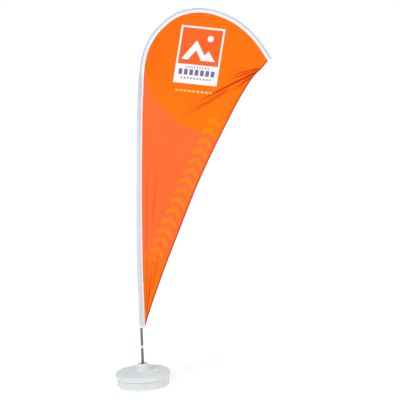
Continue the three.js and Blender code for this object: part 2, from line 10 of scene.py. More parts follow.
import bmesh
import bpy
import numpy as np
from mathutils import Matrix, Vector
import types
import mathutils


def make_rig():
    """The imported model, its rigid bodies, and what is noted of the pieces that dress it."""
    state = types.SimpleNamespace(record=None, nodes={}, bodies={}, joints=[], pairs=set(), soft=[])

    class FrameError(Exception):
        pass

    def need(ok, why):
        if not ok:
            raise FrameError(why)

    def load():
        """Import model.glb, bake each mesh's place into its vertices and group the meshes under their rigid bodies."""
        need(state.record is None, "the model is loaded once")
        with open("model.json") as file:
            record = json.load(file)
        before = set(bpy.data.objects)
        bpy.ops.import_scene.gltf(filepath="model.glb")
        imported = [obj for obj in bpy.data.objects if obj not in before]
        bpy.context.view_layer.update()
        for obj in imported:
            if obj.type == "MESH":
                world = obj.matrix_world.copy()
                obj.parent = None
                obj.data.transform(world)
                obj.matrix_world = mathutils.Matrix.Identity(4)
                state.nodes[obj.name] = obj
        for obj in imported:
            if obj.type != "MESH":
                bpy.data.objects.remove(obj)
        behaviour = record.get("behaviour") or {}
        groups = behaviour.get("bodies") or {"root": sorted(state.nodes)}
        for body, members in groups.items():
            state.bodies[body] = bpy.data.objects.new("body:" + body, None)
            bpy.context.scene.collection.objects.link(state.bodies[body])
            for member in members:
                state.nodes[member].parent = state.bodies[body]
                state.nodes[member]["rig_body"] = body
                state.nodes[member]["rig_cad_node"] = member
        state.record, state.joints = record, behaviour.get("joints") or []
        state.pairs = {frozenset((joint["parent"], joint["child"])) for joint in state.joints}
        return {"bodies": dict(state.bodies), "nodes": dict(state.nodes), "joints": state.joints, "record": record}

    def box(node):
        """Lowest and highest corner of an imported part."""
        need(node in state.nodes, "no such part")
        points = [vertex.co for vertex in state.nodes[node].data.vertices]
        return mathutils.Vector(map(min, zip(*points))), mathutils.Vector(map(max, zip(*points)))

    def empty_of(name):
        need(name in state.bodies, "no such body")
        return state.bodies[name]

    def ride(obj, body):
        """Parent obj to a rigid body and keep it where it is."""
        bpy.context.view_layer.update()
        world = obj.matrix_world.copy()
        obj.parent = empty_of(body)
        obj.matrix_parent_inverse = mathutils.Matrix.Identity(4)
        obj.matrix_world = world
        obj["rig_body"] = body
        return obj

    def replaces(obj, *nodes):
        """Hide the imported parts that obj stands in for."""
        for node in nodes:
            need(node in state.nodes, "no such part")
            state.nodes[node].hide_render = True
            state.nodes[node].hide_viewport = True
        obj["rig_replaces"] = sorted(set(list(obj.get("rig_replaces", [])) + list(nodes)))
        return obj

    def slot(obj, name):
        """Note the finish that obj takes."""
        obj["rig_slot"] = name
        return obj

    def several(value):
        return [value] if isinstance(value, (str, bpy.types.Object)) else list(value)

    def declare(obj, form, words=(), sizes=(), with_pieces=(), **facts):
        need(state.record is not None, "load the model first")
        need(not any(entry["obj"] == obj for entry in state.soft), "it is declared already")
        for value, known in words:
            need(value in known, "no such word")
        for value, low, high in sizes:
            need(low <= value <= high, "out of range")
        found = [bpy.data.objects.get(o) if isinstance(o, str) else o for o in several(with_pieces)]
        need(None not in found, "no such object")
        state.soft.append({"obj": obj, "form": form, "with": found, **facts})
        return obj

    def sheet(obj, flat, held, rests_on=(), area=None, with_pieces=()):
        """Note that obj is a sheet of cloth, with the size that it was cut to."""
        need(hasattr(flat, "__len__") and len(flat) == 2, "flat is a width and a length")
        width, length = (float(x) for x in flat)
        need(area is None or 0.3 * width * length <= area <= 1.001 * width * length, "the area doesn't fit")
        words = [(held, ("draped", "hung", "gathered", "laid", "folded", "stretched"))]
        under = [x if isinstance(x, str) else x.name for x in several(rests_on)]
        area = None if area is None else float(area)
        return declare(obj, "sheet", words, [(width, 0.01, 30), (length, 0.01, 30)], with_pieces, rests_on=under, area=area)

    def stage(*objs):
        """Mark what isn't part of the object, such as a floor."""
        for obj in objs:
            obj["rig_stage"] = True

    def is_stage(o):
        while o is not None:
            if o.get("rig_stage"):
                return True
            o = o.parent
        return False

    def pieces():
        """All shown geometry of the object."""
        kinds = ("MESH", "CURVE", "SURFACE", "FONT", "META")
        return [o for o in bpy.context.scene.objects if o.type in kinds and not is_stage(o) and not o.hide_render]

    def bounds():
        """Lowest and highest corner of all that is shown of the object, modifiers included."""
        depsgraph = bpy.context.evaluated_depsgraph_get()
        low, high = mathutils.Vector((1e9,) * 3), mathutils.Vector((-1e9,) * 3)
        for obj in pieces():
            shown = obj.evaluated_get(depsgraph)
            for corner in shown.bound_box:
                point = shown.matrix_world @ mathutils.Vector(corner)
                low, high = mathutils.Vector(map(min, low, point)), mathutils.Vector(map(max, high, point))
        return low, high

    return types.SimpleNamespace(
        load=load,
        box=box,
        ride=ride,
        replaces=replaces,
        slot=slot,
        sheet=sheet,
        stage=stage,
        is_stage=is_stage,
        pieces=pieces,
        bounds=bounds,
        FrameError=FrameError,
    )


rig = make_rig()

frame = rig.load()
cad_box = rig.bounds()
rng = np.random.default_rng(7)

MM = 0.001

# ---- Sizes ----

# The mast's line, as in the CAD: (reach, height) above its foot
UPRIGHT = 570
LEAN = [(16, 1170), (44, 1750)]
CROWN_FOOT = (56, 1900)
CROWN_REACH = 966
CROWN_RISE = 544
MAST_EVEN = 45  # reach over which the bends are evened out
CROWN_CURVE = [
    (0, 0), (0.005, 0.129), (0.036, 0.421), (0.102, 0.654), (0.184, 0.812), (0.284, 0.936),
    (0.374, 0.987), (0.464, 1), (0.552, 0.981), (0.641, 0.928), (0.729, 0.849), (0.816, 0.733),
    (0.903, 0.565), (1, 0.294),
]
# The free edge hangs in from the straight line between tip and tail: (share of the line, sag)
FREE_EDGE_SAG = [
    (0.03, 16), (0.07, 46), (0.15, 70), (0.27, 83), (0.4, 89), (0.5, 86), (0.64, 69), (0.78, 50),
    (0.92, 22),
]

TUBE_RADIUS = 9.5
TUBE_BORE = 8
TUBE_LENGTH = 975
TUBE_START = 2.6
POCKET_REACH = 16.9  # of the pocket's seam from the mast's line
PANEL_EDGE = 26.9  # of the printed cloth from the mast's line
SLEEVE_START = 131
PANEL_START = 135
ROD_FOOT = 1953  # along the mast, where the tubes end
FERRULE = 2542  # along the mast, where the two rods meet
END_CAP_LENGTH = 22

CLOTH = 0.5  # thickness of one layer

RIBS = (25, 38, 51)  # heights of the grooves round the tub
RIB_DEPTH = 1.9
RIB_REACH = 2.1  # of a groove above and below its height, as it fades


# ---- Curves ----

def stack(*parts):
    return np.stack(parts, -1)


class Path:
    """A smooth line in the plane Y = 0 through (x, z) points, measured along its length."""

    SPAN_STEPS = 240

    def __init__(self, points, even=0):
        points = np.array(points, float)
        ends = [2 * points[0] - points[1], 2 * points[-1] - points[-2]]
        ran = np.vstack([ends[0], points, ends[1]])
        # Centripetal Catmull-Rom spans, which don't kink where the points are unevenly spaced
        share = np.linspace(0, 1, self.SPAN_STEPS, endpoint=False)[:, None]
        spans = []
        for a, b, c, d in zip(ran, ran[1:], ran[2:], ran[3:]):
            before, here, after = (
                math.sqrt(np.linalg.norm(q - p)) for p, q in ((a, b), (b, c), (c, d))
            )
            leave = ((b - a) / before - (c - a) / (before + here) + (c - b) / here) * here
            reach = ((c - b) / here - (d - b) / (here + after) + (d - c) / after) * here
            square = -3 * b + 3 * c - 2 * leave - reach
            cube = 2 * b - 2 * c + leave + reach
            spans.append(b + share * leave + share**2 * square + share**3 * cube)
        self.measure(np.vstack([*spans, points[-1:]]))
        if even:
            self.even_out(even)

    def measure(self, places):
        self.places = places
        steps = np.linalg.norm(np.diff(places, axis=0), axis=1)
        self.run = np.concatenate([[0], np.cumsum(steps)])
        self.length = self.run[-1]
        heading = np.gradient(places, self.run, axis=0)
        self.heading = heading / np.linalg.norm(heading, axis=1)[:, None]

    def even_out(self, reach):
        """Evens the bends out over a reach of the line, within a fraction of a millimetre."""
        step = 2 * MM
        distance = np.linspace(0, self.length, int(self.length / step))
        # Averaging twice shows what the first time took off the bends, to put it back
        once = self.averaged(self.follow(self.places, distance), reach / step)
        self.measure(2 * once - self.averaged(once, reach / step))

    @staticmethod
    def averaged(places, spread):
        """Each place as the mean of its neighbours, weighted by a bell curve of that many steps."""
        width = int(3 * spread)
        weights = np.exp(-((np.arange(-width, width + 1) / spread)**2) / 2)
        before = 2 * places[0] - places[width:0:-1]
        after = 2 * places[-1] - places[-2:-width - 2:-1]
        ran = np.vstack([before, places, after])
        sums = [np.convolve(ran[:, i], weights / weights.sum(), "valid") for i in (0, 1)]
        return np.stack(sums, -1)

    def follow(self, values, distance):
        return np.stack([np.interp(distance, self.run, values[:, i]) for i in (0, 1)], -1)

    def along(self, distance):
        way = self.follow(self.heading, distance)
        return way / np.linalg.norm(way, axis=-1, keepdims=True)

    def at(self, distance, across=0.0):
        """(x, z) at distances along the line, moved by across to its right-hand side."""
        distance = np.asarray(distance, float)
        way = self.along(distance)
        inward = stack(way[..., 1], -way[..., 0])
        over = distance - np.clip(distance, 0, self.length)
        across = np.asarray(across, float)
        place = self.follow(self.places, distance) + over[..., None] * way
        return place + across[..., None] * inward

    def place(self, distance, across, y):
        """The same in space, with y out of the plane."""
        flat = self.at(distance, across)
        y = np.broadcast_to(y, flat.shape[:-1])
        return stack(flat[..., 0], y, flat[..., 1])


def smooth(value, low, high):
    """Goes smoothly from 0 to 1 as value goes from low to high."""
    share = np.clip((value - low) / (high - low), 0, 1)
    return share * share * (3 - 2 * share)


mast_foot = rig.box("mast_bush")[0].z / MM
crown = [(CROWN_FOOT[0] + x * CROWN_REACH, CROWN_FOOT[1] + z * CROWN_RISE) for x, z in CROWN_CURVE]
mast_line = [(0, 0), (0, UPRIGHT / 2), (0, UPRIGHT), *LEAN, *crown]
mast = Path([(x * MM, (mast_foot + z) * MM) for x, z in mast_line], even=MAST_EVEN * MM)
tip = mast.at(mast.length, PANEL_EDGE * MM)
tail = mast.at(PANEL_START * MM, PANEL_EDGE * MM)
edge_line = tail - tip
towards_mast = np.array([edge_line[1], -edge_line[0]]) / np.linalg.norm(edge_line)
free_edge = Path([
    tip,
    *(tip + share * edge_line + sag * MM * towards_mast for share, sag in FREE_EDGE_SAG),
    tail,
])


# ---- Meshes ----

SHARP = math.radians(38)  # edges that bend more stay sharp
DOUBLED = 2e-6  # metres between corners that are one


def tidy_mesh(mesh):
    """Joins doubled corners, turns the faces outwards and shades smoothly up to sharp edges."""
    work = bmesh.new()
    work.from_mesh(mesh)
    bmesh.ops.remove_doubles(work, verts=work.verts, dist=DOUBLED)
    bmesh.ops.recalc_face_normals(work, faces=work.faces)
    for face in work.faces:
        face.smooth = True
    for edge in work.edges:
        edge.smooth = len(edge.link_faces) != 2 or edge.calc_face_angle(0) < SHARP
    work.to_mesh(mesh)
    work.free()


def corners(node):
    """The low and the high corner of a CAD node's box, in millimetres."""
    return [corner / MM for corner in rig.box(node)]


def add(name, data):
    obj = bpy.data.objects.new(name, data)
    bpy.context.scene.collection.objects.link(obj)
    return obj


def piece(name, mesh, finish, stands_for, body=None):
    """Puts a mesh in the scene as a piece; it stands for CAD nodes, or else rides on a body."""
    material, slot = finish
    mesh.name = name
    mesh.materials.append(material)
    obj = add(name, mesh)
    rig.ride(obj, body or frame["nodes"][stands_for[0]]["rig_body"])
    if stands_for:
        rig.replaces(obj, *stands_for)
    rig.slot(obj, slot)
    return obj


def grid(places, wrap=False, loop=False, caps=False, shade=None):
    """Quads over rows and columns of places.

    Wrap joins the last column to the first, loop the last row to the first, and caps close the
    ends. Shade is a number at each place, for the material.
    """
    rows, columns = places.shape[:2]
    index = np.arange(rows * columns).reshape(rows, columns)
    ends = [index[0].tolist(), index[-1].tolist()] if caps else []
    if wrap:
        index = np.hstack([index, index[:, :1]])
    if loop:
        index = np.vstack([index, index[:1]])
    quads = stack(index[:-1, :-1], index[:-1, 1:], index[1:, 1:], index[1:, :-1])
    mesh = bpy.data.meshes.new("mesh")
    mesh.from_pydata(places.reshape(-1, 3).tolist(), [], quads.reshape(-1, 4).tolist() + ends)
    if shade is not None:
        layer = mesh.attributes.new("shade", "FLOAT", "POINT")
        layer.data.foreach_set("value", shade.astype(np.float32).ravel())
    tidy_mesh(mesh)
    return mesh


def rounded(outline, closed=False, steps=5):
    """An outline of (radius, height, rounding) in millimetres, with its corners rounded."""
    points = np.array([point[:2] for point in outline], float)
    made = []
    for i, (x, z, *rounding) in enumerate(outline):
        here = points[i]
        at_end = not closed and i in (0, len(points) - 1)
        if at_end or not rounding:
            made.append(here)
            continue
        sides = [points[i - 1] - here, points[(i + 1) % len(points)] - here]
        lengths = [np.linalg.norm(side) for side in sides]
        ways = [side / length for side, length in zip(sides, lengths)]
        half = math.acos(np.clip(ways[0] @ ways[1], -1, 1)) / 2
        cut = min(rounding[0] / math.tan(half), *(0.48 * length for length in lengths))
        first, last = here + cut * ways[0], here + cut * ways[1]
        for share in np.linspace(0, 1, steps):
            made.append((1 - share)**2 * first + 2 * share * (1 - share) * here + share**2 * last)
    return np.array(made)


def beside(radius, height, *points):
    """Outline points given from a radius and a height."""
    return [(radius + out, height + up, *rounding) for out, up, *rounding in points]


def mirrored(half):
    """A half outline of (place, depth, ...) and its other half, turned over."""
    return [*half, *((at, -depth, *more) for at, depth, *more in reversed(half))]


def turned(outline, closed=False, sides=96, centre=(0, 0), radius_at=None):
    """A solid turned about Z from an outline in millimetres; radius_at may reshape its radius."""
    outline = np.asarray(outline)
    angle = np.linspace(0, 2 * math.pi, sides, endpoint=False)[None, :]
    radius = np.repeat(outline[:, :1], sides, axis=1)
    height = np.repeat(outline[:, 1:2], sides, axis=1)
    if radius_at:
        radius = radius_at(radius, angle, height)
    places = np.stack(
        [centre[0] + radius * np.cos(angle), centre[1] + radius * np.sin(angle), height], -1
    )
    return grid(places * MM, wrap=True, loop=closed)


def swept(distances, sections, shade=None, **ends):
    """Sections of (across, y) points in millimetres, one for each distance along the mast."""
    distances = np.asarray(distances)[:, None] + np.zeros(sections.shape[1])
    places = mast.place(distances, sections[..., 0] * MM, sections[..., 1] * MM)
    return grid(places, shade=shade, **ends)


def ring(outline, **shape):
    return turned(rounded(outline, closed=True), closed=True, **shape)


def cut_out(obj, tool, operation="DIFFERENCE"):
    """Cuts the tool's mesh out of a piece's, or joins it to it."""
    helper = add("tool", tool)
    change = obj.modifiers.new("cut", "BOOLEAN")
    change.object = helper
    change.operation = operation
    change.solver = "EXACT"
    graph = bpy.context.evaluated_depsgraph_get()
    result = bpy.data.meshes.new_from_object(obj.evaluated_get(graph))
    obj.modifiers.clear()
    obj.data = result
    tidy_mesh(result)
    bpy.data.objects.remove(helper)


def thicken(obj):
    """Gives a sheet the thickness of one layer of cloth."""
    layer = obj.modifiers.new("cloth", "SOLIDIFY")
    layer.thickness = CLOTH * MM
    layer.offset = 0
    layer.use_even_offset = False


# A stitch: its ends and two rings of corners, as (along, sideways, outwards) shares of its size
THREAD_RING = ((1, 0), (0, 1), (-1, 0), (0, -0.4))
THREAD = np.array([
    (-0.5, 0, -0.2),
    *((along, side, out) for along in (-0.3, 0.3) for side, out in THREAD_RING),
    (0.5, 0, -0.2),
])
THREAD_FACES = (
    [(0, 1 + i, 1 + (i + 1) % 4) for i in range(4)]
    + [(1 + i, 5 + i, 5 + (i + 1) % 4, 1 + (i + 1) % 4) for i in range(4)]
    + [(9, 5 + (i + 1) % 4, 5 + i) for i in range(4)]
)
STITCH_WIDTH = 0.45
STITCH_HEIGHT = 0.4


def stitches(rows, length=3.4):
    """Threads lying on the cloth; each row is (places, ways along, ways out of the cloth)."""
    places, ways, outs = (np.vstack(part) for part in zip(*rows))
    sideways = np.cross(ways, outs)
    vertices = (
        places[:, None]
        + THREAD[:, :1] * length * MM * ways[:, None]
        + THREAD[:, 1:2] * STITCH_WIDTH * MM * sideways[:, None]
        + THREAD[:, 2:] * STITCH_HEIGHT * MM * outs[:, None]
    )
    faces = [
        tuple(len(THREAD) * i + corner for corner in face)
        for i in range(len(places))
        for face in THREAD_FACES
    ]
    mesh = bpy.data.meshes.new("mesh")
    mesh.from_pydata(vertices.reshape(-1, 3).tolist(), [], faces)
    for polygon in mesh.polygons:
        polygon.use_smooth = True
    return mesh


def out_of_plane(ways, side):
    return np.tile([0.0, side, 0.0], (len(ways), 1))


def in_space(flat):
    return stack(flat[:, 0], np.zeros(len(flat)), flat[:, 1])


# ---- Materials ----

def srgb(red, green, blue):
    """A colour on the usual 0 to 255 scale, as the shader's linear one."""
    shares = [channel / 255 for channel in (red, green, blue)]
    return (*(s / 12.92 if s <= 0.04045 else ((s + 0.055) / 1.055)**2.4 for s in shares), 1.0)


class Finish:
    """A material made of nodes; numbers, 0 to 255 colours and sockets are taken as inputs."""

    def __init__(self, slot, name=None, **constants):
        self.slot = slot
        self.material = bpy.data.materials.new(name or slot)
        self.material.use_nodes = True
        self.nodes = self.material.node_tree.nodes
        self.links = self.material.node_tree.links
        self.shader = self.nodes["Principled BSDF"]
        for key, value in constants.items():
            self.shader.inputs[key.replace("_", " ")].default_value = value
        self.place = self.node("TexCoord").outputs["Object"]
        split = self.node("SeparateXYZ", self.place)
        self.x, _, self.z = split.outputs

    def __iter__(self):
        return iter((self.material, self.slot))

    def put(self, socket, value):
        if isinstance(value, bpy.types.NodeSocket):
            self.links.new(value, socket)
        else:
            socket.default_value = srgb(*value) if socket.type == "RGBA" else value

    def node(self, kind, *values, **settings):
        made = self.nodes.new("ShaderNode" + kind)
        for key, value in settings.items():
            setattr(made, key, value)
        for socket, value in zip(made.inputs, values):
            self.put(socket, value)
        return made

    def math(self, operation, *values, clamp=False):
        return self.node("Math", *values, operation=operation, use_clamp=clamp).outputs[0]

    def times(self, *values):
        result = values[0]
        for value in values[1:]:
            result = self.math("MULTIPLY", result, value)
        return result

    def either(self, *masks):
        result = masks[0]
        for mask in masks[1:]:
            result = self.math("MAXIMUM", result, mask)
        return result

    def without(self, mask, hole):
        return self.times(mask, self.math("SUBTRACT", 1.0, hole, clamp=True))

    def rise(self, value, low, high, start=0.0, end=1.0):
        """Goes smoothly from start to end as value goes from low to high."""
        made = self.node("MapRange", value, low, high, start, end, interpolation_type="SMOOTHSTEP")
        return made.outputs[0]

    def between(self, value, low, high, soft=0.0006):
        """1 where value lies between two limits, and 0 elsewhere."""
        up = self.rise(value, low - soft, low + soft)
        return self.without(up, self.rise(value, high - soft, high + soft))

    def linear(self, across, up, offset):
        """across * x + up * z + offset."""
        first = self.scaled(self.x, across, offset)
        return self.scaled(self.z, up, first)

    def noise(self, scale, detail=3.0, roughness=0.5, stretch=(1, 1, 1)):
        vector = self.node("VectorMath", self.place, stretch, operation="MULTIPLY").outputs[0]
        made = self.node("TexNoise")
        self.put(made.inputs["Vector"], vector)
        for key, value in (("Scale", scale), ("Detail", detail), ("Roughness", roughness)):
            made.inputs[key].default_value = value
        return made.outputs["Fac"]

    def scaled(self, value, by, plus):
        return self.math("MULTIPLY_ADD", value, by, plus)

    def uneven(self, scale, detail, spread, least):
        return self.scaled(self.noise(scale, detail), spread, least)

    def cells(self, scale):
        made = self.node("TexVoronoi")
        self.put(made.inputs["Vector"], self.place)
        made.inputs["Scale"].default_value = scale
        return self.node("SeparateColor", made.outputs["Color"]).outputs[0]

    def mix(self, share, first, second):
        made = self.node("Mix", data_type="RGBA")
        for index, value in ((0, share), (6, first), (7, second)):
            self.put(made.inputs[index], value)
        return made.outputs[2]

    def distance(self, place, point):
        return self.node("VectorMath", place, point, operation="DISTANCE").outputs["Value"]

    def shade(self):
        """The number that grid stored at each place."""
        return self.node("Attribute", attribute_name="shade").outputs["Fac"]

    def bump(self, height, distance, strength):
        made = self.node("Bump")
        made.inputs["Strength"].default_value = strength
        made.inputs["Distance"].default_value = distance
        self.put(made.inputs["Height"], height)
        self.put(self.shader.inputs["Normal"], made.outputs[0])

    def finish(self, colour, roughness):
        self.put(self.shader.inputs["Base Color"], colour)
        self.put(self.shader.inputs["Roughness"], roughness)
        return self


def moulded(slot, colour, stain, gloss, lines=()):
    """White moulded plastic: faint mottling, a fine skin and scuffs.

    Lines are grooves round it that get painted shade, as (height, half their width, share of
    shade); a piece that has them is dusty near the ground too.
    """
    made = Finish(slot, Subsurface_Weight=0.12, Subsurface_Scale=0.006, IOR=1.5)
    mottle = made.noise(9, 4)
    shade = made.mix(made.rise(mottle, 0.35, 0.7, 0, 0.5), colour, stain)
    scuffs = made.noise(60, 5, 0.7, (1, 1, 4))
    worn = made.rise(scuffs, 0.6, 0.78)
    if lines:
        low = made.rise(made.z, 0.0, 0.05, 1, 0.12)
        shade = made.mix(made.times(worn, low, 0.4), shade, (186, 182, 173))
    # Painted shade: a grey line darkened at each groove
    for height, half, share in lines:
        line = made.between(made.z, (height - half) * MM, (height + half) * MM, 0.0015)
        shade = made.mix(made.times(line, share), shade, (160, 163, 164))
    rough = made.uneven(25, 3, 0.16, gloss)
    made.bump(made.scaled(worn, -0.4, made.noise(850, 2)), 0.00006, 0.5)
    return made.finish(shade, made.scaled(worn, 0.12, rough))


def metal(slot, colour, dark, gloss, spangle=0.0, metallic=1.0, **constants):
    """Drawn or plated metal: fine lines along its length, uneven tone, and a few dull marks."""
    made = Finish(slot, Metallic=metallic, **constants)
    lines = made.noise(1400, 2, 0.6, (1, 1, 0.02))
    tone = made.scaled(lines, 0.35, made.rise(made.noise(30, 4), 0.3, 0.75, 0, 0.5))
    if spangle:
        tone = made.scaled(made.cells(190), spangle, tone)
    rough = made.uneven(70, 4, 0.2, gloss)
    made.bump(lines, 0.00003, 0.4)
    return made.finish(made.mix(tone, colour, dark), rough)


def weave(made, pitch, strength):
    """The crossing threads of a plain cloth in the plane Y = 0, as bump."""
    threads = [
        made.math("SINE", made.math("MULTIPLY", along, 2 * math.pi / (pitch * MM)))
        for along in (made.x, made.z)
    ]
    slubs = made.uneven(400, 3, 0.8, made.times(*threads))
    made.bump(slubs, 0.00007, strength)


def white_cloth(slot, name, colour, pole_shade_colour):
    """Knitted white polyester, with painted shade in a cool tone where the pole shows through it."""
    made = Finish(slot, name, Sheen_Weight=0.15, Sheen_Roughness=0.6, Specular_IOR_Level=0.2)
    fuzz = made.rise(made.noise(55, 4), 0.3, 0.75, 0, 0.25)
    cloth = made.mix(fuzz, colour, (226, 230, 238))
    weave(made, 1.1, 0.35)
    rough = made.uneven(300, 2, 0.15, 0.72)
    # Painted shade of the pole through the cloth, darker towards the crown
    pole_shade = made.mix(made.rise(made.z, 1.5, 2.5), pole_shade_colour, (188, 195, 214))
    return made.finish(made.mix(made.shade(), cloth, pole_shade), rough)


# The printed panel: the middle of its frame, and its width and height as skewed by the cloth,
# as (x, z) in metres
LABEL_MIDDLE = (0.499, 2.382)
LABEL_ACROSS = (0.3165, -0.0455)
LABEL_UP = (0.0825, 0.4155)
LABEL_RATIO = 1.31  # of its height to its width, as printed
SUN = (0.2, 0.4, 0)  # in shares of its width from the middle
SUN_RADIUS = 0.069
# Farther than its radius from its middle, the print turns from orange to a pinker orange
GLOW_MIDDLE = (0.65, 0, 2.35)
GLOW_RADIUS = 0.553
# The chevrons run up the free edge: where they start, which way, and their sizes in metres
CHEVRON_FOOT = (0.3154, 1.135)
CHEVRON_WAY = (0.437, 0.899)
CHEVRON_RUN = (-0.3, 0.84)
CHEVRON_SIDES = (0.034, 0.142)
CHEVRON_POINT = 0.088
CHEVRON_SLANT = 0.7
CHEVRON_STEP = 0.079


def printed_cloth():
    """Dye-printed polyester: orange with a soft change of tone, a framed panel and chevrons."""
    made = Finish(
        "flag_cloth", Sheen_Weight=0.02, Sheen_Roughness=0.5, Specular_IOR_Level=0.08
    )

    # Ground: orange above, pinker below and to the left of a wide arc, orange again at the foot
    upper = made.mix(made.rise(made.x, 0.1, 0.9), (248, 102, 0), (250, 112, 0))
    amber = made.mix(made.rise(made.z, 1.85, 2.5), (250, 116, 4), upper)
    pink = made.mix(made.rise(made.z, 0.75, 1.1), (248, 112, 6), (250, 106, 50))
    away = made.distance(made.node("CombineXYZ", made.x, 0.0, made.z).outputs[0], GLOW_MIDDLE)
    ground = made.mix(made.rise(away, GLOW_RADIUS - 0.02, GLOW_RADIUS + 0.02), amber, pink)

    # Chevrons along the free edge
    side = (-CHEVRON_WAY[1], CHEVRON_WAY[0])
    along = made.linear(*CHEVRON_WAY, -np.dot(CHEVRON_WAY, CHEVRON_FOOT))
    across = made.linear(*side, -np.dot(side, CHEVRON_FOOT))
    bend = made.math("ABSOLUTE", made.math("SUBTRACT", across, CHEVRON_POINT))
    slanted = made.scaled(bend, CHEVRON_SLANT, along)
    phase = made.math("FRACT", made.math("DIVIDE", slanted, CHEVRON_STEP))
    chevron = made.times(
        made.between(phase, 0.06, 0.56, 0.012),
        made.between(across, *CHEVRON_SIDES),
        made.between(along, *CHEVRON_RUN),
    )

    # The framed panel, in shares of its own width and height from its middle
    turn = LABEL_ACROSS[0] * LABEL_UP[1] - LABEL_ACROSS[1] * LABEL_UP[0]

    def share_of(across, up):
        middle = across * LABEL_MIDDLE[0] + up * LABEL_MIDDLE[1]
        return made.linear(across / turn, up / turn, -middle / turn)

    p = share_of(LABEL_UP[1], -LABEL_UP[0])
    q = share_of(-LABEL_ACROSS[1], LABEL_ACROSS[0])

    def rectangle(left, right, low, high, soft=0.002):
        return made.times(made.between(p, left, right, soft), made.between(q, low, high, soft))

    def peak(at, top, slope, bottom=-0.085):
        """A triangle with its point at (at, top)."""
        height = made.math("SUBTRACT", top, q)
        width = made.math("DIVIDE", height, slope)
        offset = made.math("ABSOLUTE", made.math("SUBTRACT", p, at))
        inside = made.rise(made.math("SUBTRACT", width, offset), -0.004, 0.004)
        return made.times(inside, made.between(q, bottom, top, 0.003))

    def bars(row, thickness, count, reach, share):
        """A row of short bars in place of lettering, each as wide as its share of a step."""
        step = made.math("FRACT", made.scaled(p, count / (2 * reach), count / 2))
        bar = made.between(step, (1 - share) / 2, (1 + share) / 2, 0.03)
        return made.times(bar, rectangle(-reach, reach, row - thickness, row + thickness))

    window = rectangle(-0.459, 0.459, -0.165, 0.468)
    unskewed = made.node("CombineXYZ", p, made.math("MULTIPLY", q, LABEL_RATIO), 0.0).outputs[0]
    sun = made.rise(made.distance(unskewed, SUN), SUN_RADIUS + 0.003, SUN_RADIUS - 0.003)
    gap = peak(-0.09, 0.085, 1.15, -0.15)
    hills = made.either(made.without(peak(-0.1, 0.26, 1.15), gap), peak(0.2, 0.09, 1.0), sun)
    white = (246, 243, 246)
    small = made.either(bars(-0.215, 0.014, 9, 0.28, 0.6), bars(-0.405, 0.016, 10, 0.36, 0.62))

    # Dye: faint streaks and blotches; and painted shade, a dark red, in the creases, beside the seam and along the
    # free edge below the tip
    blotch = made.rise(made.noise(14, 5, 0.6), 0.35, 0.75)
    streak = made.rise(made.noise(500, 2, 0.5, (1, 1, 0.02)), 0.4, 0.7)
    for mask, share, colour in (
        (chevron, 0.7, (252, 136, 6)),
        (rectangle(-0.5, 0.5, -0.5, 0.5), 1, white),
        (window, 1, (255, 96, 36)),
        (made.times(window, hills), 1, white),
        (bars(-0.3, 0.05, 7, 0.43, 0.68), 0.9, (66, 78, 124)),
        (small, 0.75, (104, 108, 146)),
        (bars(-0.625, 0.016, 9, 0.44, 0.7), 0.7, (255, 214, 150)),
        (blotch, 0.1, (250, 100, 26)),
        (streak, 0.05, (255, 170, 90)),
        # Painted shade, from the numbers stored on the cloth's mesh
        (made.shade(), 0.85, (196, 44, 0)),
    ):
        ground = made.mix(made.times(mask, share), ground, colour)
    weave(made, 0.9, 0.3)
    return made.finish(ground, made.uneven(200, 3, 0.15, 0.62))


def hem_cloth():
    """The free edge's hem: the print's orange on doubled cloth, painted darker as the shade of its rolled edge."""
    made = Finish("hem_cloth", Sheen_Weight=0.1, Specular_IOR_Level=0.2)
    tone = made.rise(made.noise(80, 4), 0.3, 0.75, 0, 0.5)
    weave(made, 0.8, 0.4)
    # Painted shade: the hem is darker than the print's orange
    shade = made.mix(tone, (182, 68, 22), (204, 84, 30))
    return made.finish(shade, made.uneven(300, 2, 0.15, 0.7))


def plain(slot, colour, variation, scale, gloss, bump, **constants):
    """A small part's own finish: uneven tone and a fine surface."""
    made = Finish(slot, **constants)
    tone = made.rise(made.noise(scale, 4), 0.3, 0.75)
    made.bump(made.noise(scale * 9, 3), bump, 0.5)
    return made.finish(
        made.mix(tone, colour, variation), made.uneven(scale, 3, 0.2, gloss)
    )


lid_low, lid_high = corners("tank_top")
skirt_bottom = lid_low.z
# Its lines: painted shadow under the lid's skirt, and fainter painted shade in the tub's grooves
tank_plastic = moulded(
    "tank_plastic", (236, 240, 241), (229, 233, 235), 0.36,
    [(skirt_bottom - 1.6, 2.6, 0.55), *((rib, 1.8, 0.16) for rib in RIBS)],
)
cap_plastic = moulded("cap_plastic", (254, 254, 254), (250, 251, 252), 0.16)
post_steel = metal(
    "post_steel", (122, 131, 136), (98, 107, 112), 0.5, spangle=0.2, metallic=0.4
)
aluminium = metal(
    "aluminium", (124, 132, 136), (104, 112, 116), 0.55, metallic=0.1,
    Specular_IOR_Level=0.2,
)
steel = metal("steel", (170, 174, 176), (128, 132, 136), 0.28)
brass = metal("brass", (206, 172, 104), (160, 126, 66), 0.3)
sleeve_white = white_cloth("sleeve_cloth", "sleeve_cloth", (242, 243, 246), (216, 218, 228))
band_white = white_cloth("sleeve_cloth", "band_cloth", (238, 239, 243), (222, 229, 240))
thread_white = plain("sleeve_cloth", (222, 224, 230), (204, 207, 215), 200, 0.6, 0.00003)
thread_orange = plain("hem_cloth", (196, 78, 24), (170, 62, 18), 200, 0.6, 0.00003)
flag_print = printed_cloth()
hem_orange = hem_cloth()
nylon = plain("nylon", (247, 247, 244), (232, 232, 227), 45, 0.38, 0.00003, IOR=1.53)
rubber = plain("rubber", (46, 46, 47), (30, 30, 31), 90, 0.62, 0.00008)
fibreglass = plain("fibreglass", (66, 70, 77), (44, 48, 54), 160, 0.25, 0.00002, IOR=1.56)
water = plain("water", (214, 230, 236), (200, 220, 229), 12, 0.05, 0.00002, IOR=1.33)

